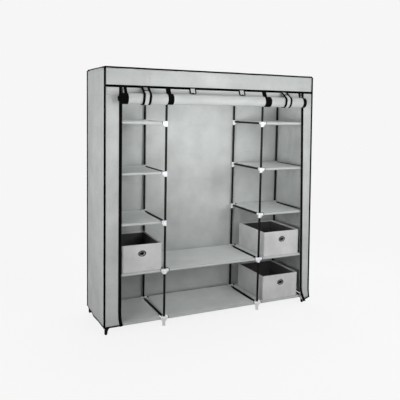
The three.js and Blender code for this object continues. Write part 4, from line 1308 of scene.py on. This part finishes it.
wall("left_side", left_side, 36, 60, 60, [
    ({"steps": 60, "u": 0.0}, LEFTWARD, {"start": -0.002, "end": 0.0075}),
    ({"steps": 60, "u": 1.0}, LEFTWARD, {"start": -0.0045, "end": 0.009}),
])
wall("right_side", right_side, 36, 60, 60, [
    ({"steps": 60, "u": 0.0}, RIGHTWARD, {"start": -0.0055, "end": FIN_REACH}),
    ({"steps": 60, "u": 1.0}, RIGHTWARD, {"start": -0.002, "end": 0.0045}),
])
wall("back", back, 96, 48, 120)
wall("valance", valance, 96, 10, tapes=[
    ({"steps": 80, "v": 0.0}, UPWARD, {"start": -0.0075, "end": FIN_REACH, "half": 0.003}),
])

# %% [markdown]
# The two front strips end in the zip's black tape with its coil of teeth. The coil is one oval
# section that swells at each tooth. The left strip hangs nearly straight, while the free lower
# corner of the right one swings forward, which bends its hem into the point that the photo shows.

# %% Front strips and zips
ZIP_TAPE_START, ZIP_TAPE_WIDTH = 0.0008, 0.022
ZIP_TAPE_LIFTS = (-0.0013, 0.0012)
COIL_BESIDE, COIL_BEFORE = 0.0024, 0.0026
TOOTH_PITCH = 0.0026
TOOTH_HALF_WIDTH, TOOTH_HALF_HEIGHT = 0.0019, 0.0013


def coil(path):
    """The zip's teeth: an oval section along a path, wide at each tooth and narrow between."""
    rows = []
    for a, b in zip(path, path[1:]):
        teeth = max(1, round((b - a).length / TOOTH_PITCH))
        for tooth in range(teeth):
            for part, size in ((0.0, 0.7), (0.25, 1.0), (0.75, 1.0)):
                middle = a + (b - a) * ((tooth + part) / teeth)
                ring = oval(TOOTH_HALF_WIDTH * size, TOOTH_HALF_HEIGHT * size, 6)
                rows.append([middle + Vector((x, y, 0)) for x, y in ring])
    return skin(rows)


def front_strip(side, sheet_point, free_edge, outward):
    """A strip with its hem tape, its zip tape on both faces, and the coil in front of that."""
    sheet = cover_sheet(f"{side}_strip_cloth", sheet_point, 18, 70, f"front_strip_{side}")
    tape = Shape()
    hem(tape, sheet_point, 20)

    def beside(x, y):
        edge = trace(sheet_point, 70, u=free_edge)
        return [Vector(point) + Vector((outward * x, y, 0)) for point in edge]

    band = [
        (ZIP_TAPE_START, -0.0005), (ZIP_TAPE_WIDTH, -0.0005), (ZIP_TAPE_WIDTH, 0.0006),
        (ZIP_TAPE_START, 0.0006),
    ]
    for lift in ZIP_TAPE_LIFTS:
        tape.add(swept(beside(0.0, lift), band, lambda i: (outward, 0, 0)))
    tape.add(coil(beside(COIL_BESIDE, -COIL_BEFORE)), 1)
    tape = tape.piece(f"{side}_zip_tape", [BLACK_TAPE, ZIP_COIL], "cover_cloth")


front_strip("left", left_strip, 1.0, -1)
front_strip("right", right_strip, 0.0, 1)
for node in ("zip_slider_left", "zip_slider_right", "zip_pull_left", "zip_pull_right"):
    for material_slot in bpy.data.objects[node].material_slots:
        material_slot.material = ZIP_METAL.material
print("zip teeth a side:", round((SEAM_Z - HEM_Z) / TOOTH_PITCH))

# %% [markdown]
# The door is rolled up below the valance. It's one sheet wound in a spiral of twelve turns, as long
# as the real door is high. Four black tapes run down the real door, two of them its zips, and wind
# up with it, so on the roll they show as black bands and its ends are black. Its inner turns have
# slipped out a little at the left end.

# %% Rolled door
ROLL_LOW, ROLL_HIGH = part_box("door_roll")
ROLL_RADIUS = 0.0365
ROLL_BEFORE, ROLL_BELOW = 0.0175, 0.0745
ROLL_Y = FRONT_Y - ROLL_BEFORE - ROLL_RADIUS
ROLL_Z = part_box("cover_valance")[0].z - ROLL_BELOW
ROLL_TURNS = 12
ROLL_PITCH = 0.0027
ROLL_CLOTH = 0.0013
SLIP = 0.018
END_DROOP = 0.003
SOFT_WOBBLE, LONG_WOBBLE = 0.0009, 0.0011
WEB_ANGLE = 0.2 * math.pi
BANDS = [(-0.7115, -0.671), (-0.404, -0.362), (0.337, 0.391), (0.664, 0.6925)]
STEPS_PER_TURN = 24


def in_band(x):
    return any(start <= x - CENTRE_X <= end for start, end in BANDS)


def band_shares(low, high, step):
    """Shares across the door that put a column edge at each side of every black tape."""
    edges = {CENTRE_X + x for band in BANDS for x in band}
    stops = [low] + sorted(x for x in edges if low < x < high) + [high]
    shares = [0.0]
    for start, end in zip(stops, stops[1:]):
        count = max(1, round((end - start) / step))
        places = [start + (end - start) * (i + 1) / count for i in range(count)]
        shares += [(x - low) / (high - low) for x in places]
    return shares


def wobble(x, angle):
    """How the roll's surface rises and dips, the same for every turn, so that none cross."""
    soft = noise.noise(Vector((x * 7, math.cos(angle) * 0.8, math.sin(angle) * 0.8)))
    long = noise.noise(Vector((x * 2.2, math.cos(angle) * 1.6 + 5, math.sin(angle) * 1.6)))
    return SOFT_WOBBLE * soft + LONG_WOBBLE * long


def droop(x):
    """The roll's height against its middle: a little lower towards both ends."""
    return END_DROOP * math.cos((x - CENTRE_X) * 2.2) - END_DROOP


def on_roll(x, angle, radius):
    radius += wobble(x, angle)
    return x, ROLL_Y + radius * math.cos(angle), ROLL_Z + droop(x) + radius * math.sin(angle)


def rolled_door(u, v):
    """v runs from the outer end, at the web, to the inner one. The tapes lie on the outer turn."""
    turn = v * ROLL_TURNS
    x = between(ROLL_LOW.x, ROLL_HIGH.x, u)
    radius = ROLL_RADIUS - ROLL_CLOTH / 2 - ROLL_PITCH * turn
    if turn < 1 and in_band(x):
        radius += 0.0008
    slipped = SLIP * min(1, max(0, (turn - 5) / 2)) * (1 - u)
    return on_roll(x - slipped, WEB_ANGLE - 2 * math.pi * turn, radius)


shares = band_shares(ROLL_LOW.x, ROLL_HIGH.x, 0.032)
roll_sheet = cloth(
    "door_roll_cloth", rolled_door, shares, ROLL_TURNS * STEPS_PER_TURN, [DOOR_CLOTH, BLACK_TAPE],
    "door_cloth", ROLL_CLOTH, body="door_body", nodes=["door_roll"],
    finish_at=lambda u, v: 1 if in_band(between(ROLL_LOW.x, ROLL_HIGH.x, u)) else 0,
)
rolled_length = path_length([rolled_door(0.3, i / 600) for i in range(601)])
print("rolled-up length:", round(rolled_length, 3), "m")

# %% [markdown]
# A short web of the same cloth joins the valance seam to the roll. When the door comes down the web
# stretches between them. The web and its black tapes ride on no body, and their places are baked
# into their points.

# %% Web above the roll
WEB_LOW, WEB_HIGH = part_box("door_web")
WEB_TAPES = [(-0.697, -0.658), (-0.390, -0.355), (0.357, 0.393), (0.676, 0.692)]
WEB_TAPE_LIFT, WEB_TAPE_THICKNESS = 0.0012, 0.0024
WEB_RADIUS = ROLL_RADIUS + 0.0008
WEB_SEWN = 0.008
WEB_TOP = (0, FRONT_Y + COVER_HALF, SEAM_Z)
WEB_END = (0, ROLL_Y + WEB_RADIUS * math.cos(WEB_ANGLE), ROLL_Z + WEB_RADIUS * math.sin(WEB_ANGLE))


def web(u, v, low=WEB_LOW.x, high=WEB_HIGH.x, lift=0.0):
    """v runs down from the seam to the roll."""
    x = between(low, high, u)
    creases = math.sin(math.pi * v) * wrinkle(x, v * 0.05, 3, 0.05, 0.0035)
    y = between(WEB_TOP[1], WEB_END[1], v**1.5) + creases - lift
    return x, y, between(WEB_TOP[2], WEB_END[2] + droop(x), v)


web_sheet = cloth(
    "door_web_cloth", web, 90, 8, [DOOR_CLOTH], "door_cloth", 2 * COVER_HALF, body=None,
    nodes=["door_web"],
)
thick = Vector((0, WEB_TAPE_THICKNESS, 0))
web_tapes = Shape()
for start, end in WEB_TAPES:
    sides = [max(CENTRE_X + start, WEB_LOW.x), min(CENTRE_X + end, WEB_HIGH.x)]
    rows = []
    for step in range(9):
        left, right = (Vector(web(u, step / 8, *sides, lift=WEB_TAPE_LIFT)) for u in (0, 1))
        rows.append([left, right, right + thick, left + thick])
    web_tapes.add(skin(rows))
web_tapes = web_tapes.piece("door_web_tapes", [BLACK_TAPE], "door_cloth", body=None)
for piece in (web_sheet, web_tapes):
    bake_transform(piece)
WEB_DROP = SEAM_Z - WEB_END[2]
WEB_DROP + WEB_SEWN
print("web drop:", round(WEB_DROP, 4), "m")

# %% [markdown]
# Two wide straps carry the roll. Each leaves the valance behind the web, passes under the roll and
# comes up its front to a tab sewn under the valance. Their long edges are bound in black. When the
# door is lowered the real straps hang limp behind the valance seam, so the pieces flatten there.

# %% Straps round the roll
STRAP_RADIUS = ROLL_RADIUS + 0.0026
STRAP_BEYOND = 0.0035
STRAP_EDGE = 0.26
STRAP_RUN_UP = (0.2, 0.4, 0.7, 1)
STRAP_TAB_STEP = 2
STRAP_LEAN, LEAN_DROP = 0.016, 0.075
TAB_LIFT, TAB_HALF = 0.0024, 0.0045


def arc(radius, start, end, steps):
    angles = [start + (end - start) * step / steps for step in range(steps + 1)]
    return [(ROLL_Y + radius * math.cos(a), ROLL_Z + radius * math.sin(a)) for a in angles]


def tangent_angle(y, z, radius, side):
    """Where round the roll a straight line from (y, z) touches a circle of this radius."""
    y, z = y - ROLL_Y, z - ROLL_Z
    return math.atan2(z, y) + side * math.acos(radius / math.hypot(y, z))


def strap_path():
    """Points (y, z) down from the seam behind the web, round the roll and up its front."""
    back_y, front_y = FRONT_Y + 0.0021, FRONT_Y - 0.0009
    back_z, front_z = SEAM_Z - 0.030, SEAM_Z - 0.0015
    back_turn = tangent_angle(back_y, back_z, STRAP_RADIUS, -1)
    front_turn = tangent_angle(front_y, front_z, STRAP_RADIUS, 1) - 2 * math.pi
    path = [(back_y, z) for z in (SEAM_Z, (SEAM_Z + back_z) / 2, back_z)]
    path += arc(STRAP_RADIUS, back_turn, front_turn, 30)
    y, z = path[-1]
    return path + [(between(y, front_y, t), between(z, front_z, t)) for t in STRAP_RUN_UP]


STRAP_PATH = strap_path()


def strap_lean(z):
    """Each strap slants a little to the left between the seam and the roll."""
    return -STRAP_LEAN * min(1.0, (SEAM_Z - z) / LEAN_DROP)


def strap(side):
    node = f"door_strap_{side}"
    low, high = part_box(node)
    centre, half = (low.x + high.x) / 2, (high.x - low.x) / 2 + STRAP_BEYOND
    count = len(STRAP_PATH) - 1

    def point(u, v, lift=0.0):
        y, z = STRAP_PATH[round(v * count)]
        x = centre + strap_lean(z) + half * (2 * u - 1)
        rests = min(1.0, (SEAM_Z - z) / 0.04)
        swell = rests * wobble(x, math.atan2(z - ROLL_Z, y - ROLL_Y))
        out = Vector((y - ROLL_Y, z - ROLL_Z)).normalized() * (lift + swell)
        return x, y + out.x, z + out.y + rests * droop(x)

    band = cloth(
        f"{node}_band", point, [0, STRAP_EDGE, 0.4, 0.6, 1 - STRAP_EDGE, 1], count,
        [DOOR_CLOTH, BLACK_TAPE], "door_cloth", 0.0014, nodes=[node],
        finish_at=lambda u, v: 1 if u < STRAP_EDGE or u > 1 - STRAP_EDGE else 0,
    )
    piping = Shape()
    for u in (0.0, STRAP_EDGE, 1 - STRAP_EDGE, 1.0):
        edge = [point(u, i / count) for i in range(count + 1)]
        piping.add(swept(edge, oval(0.0009, 0.0012, 8), lambda i: RIGHTWARD))
    tab = (count - len(STRAP_RUN_UP) + STRAP_TAB_STEP) / count
    across = [point(u, tab, lift=TAB_LIFT) for u in (0.02, 0.25, 0.5, 0.75, 0.98)]
    edging(piping, across, (0, -0.35, 1), start=-TAB_HALF, end=TAB_HALF)
    piping = piping.piece(f"{node}_edges", [BLACK_TAPE], "door_cloth")
    for piece in (band, piping):
        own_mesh(piece)
    length = path_length([(0, y, z) for y, z in STRAP_PATH])
    return length


strap_length = strap("left")
strap("right")
print("strap length:", round(strap_length, 3), "m")

# %% [markdown]
# Beside the straps hang two short tabs, sewn into the valance seam and bound in black round their
# free edge. Each one swings on its seam, so its pieces ride on its own body.

# %% Loose ties
TIE_SLOPE = 0.13 * math.pi
TIE_DROP, TIE_CORNER = 0.040, 0.010


def tie(side):
    node = f"door_tie_{side}"
    low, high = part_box(node)
    centre, half = (low.x + high.x) / 2, (high.x - low.x) / 2
    body = f"tie_{side}_body"

    def point(across, down, lift=0.0):
        back, rise = math.sin(TIE_SLOPE), math.cos(TIE_SLOPE)
        y = high.y - 0.001 - down * back - lift * rise
        return Vector((centre + across, y, SEAM_Z - down * rise + lift * back))

    def tab(u, v):
        """A U shape: straight sides, and two rounded corners below."""
        down = v * TIE_DROP
        below = max(0.0, down - (TIE_DROP - TIE_CORNER)) / TIE_CORNER
        reach = half - TIE_CORNER * (1 - math.sqrt(max(0.0, 1 - below**2)))
        return point(reach * (2 * u - 1), down, lift=0.0008 * math.sin(math.pi * u))

    across, along = 10, 14
    sheet = cloth(
        f"{node}_tab", tab, across, along, [DOOR_CLOTH], "door_cloth", 0.0016, body=body, nodes=[node]
    )
    rim = trace(tab, along, u=0) + trace(tab, across, v=1)[1:-1] + trace(tab, along, u=1)[::-1]
    middle = point(0, TIE_DROP / 2)
    section = tape_section(-FIN_REACH, 0.0015, HEM_HALF)
    binding = Shape().add(swept(rim, section, lambda i: rim[i] - middle))
    binding = binding.piece(f"{node}_binding", [BLACK_TAPE], "door_cloth", body=body)


tie("left")
tie("right")
print("ties are", TIE_DROP * 1000, "mm long")

# %% [markdown] Cloth may stand a little proud of the packed model, but nothing may make the
# wardrobe bigger.
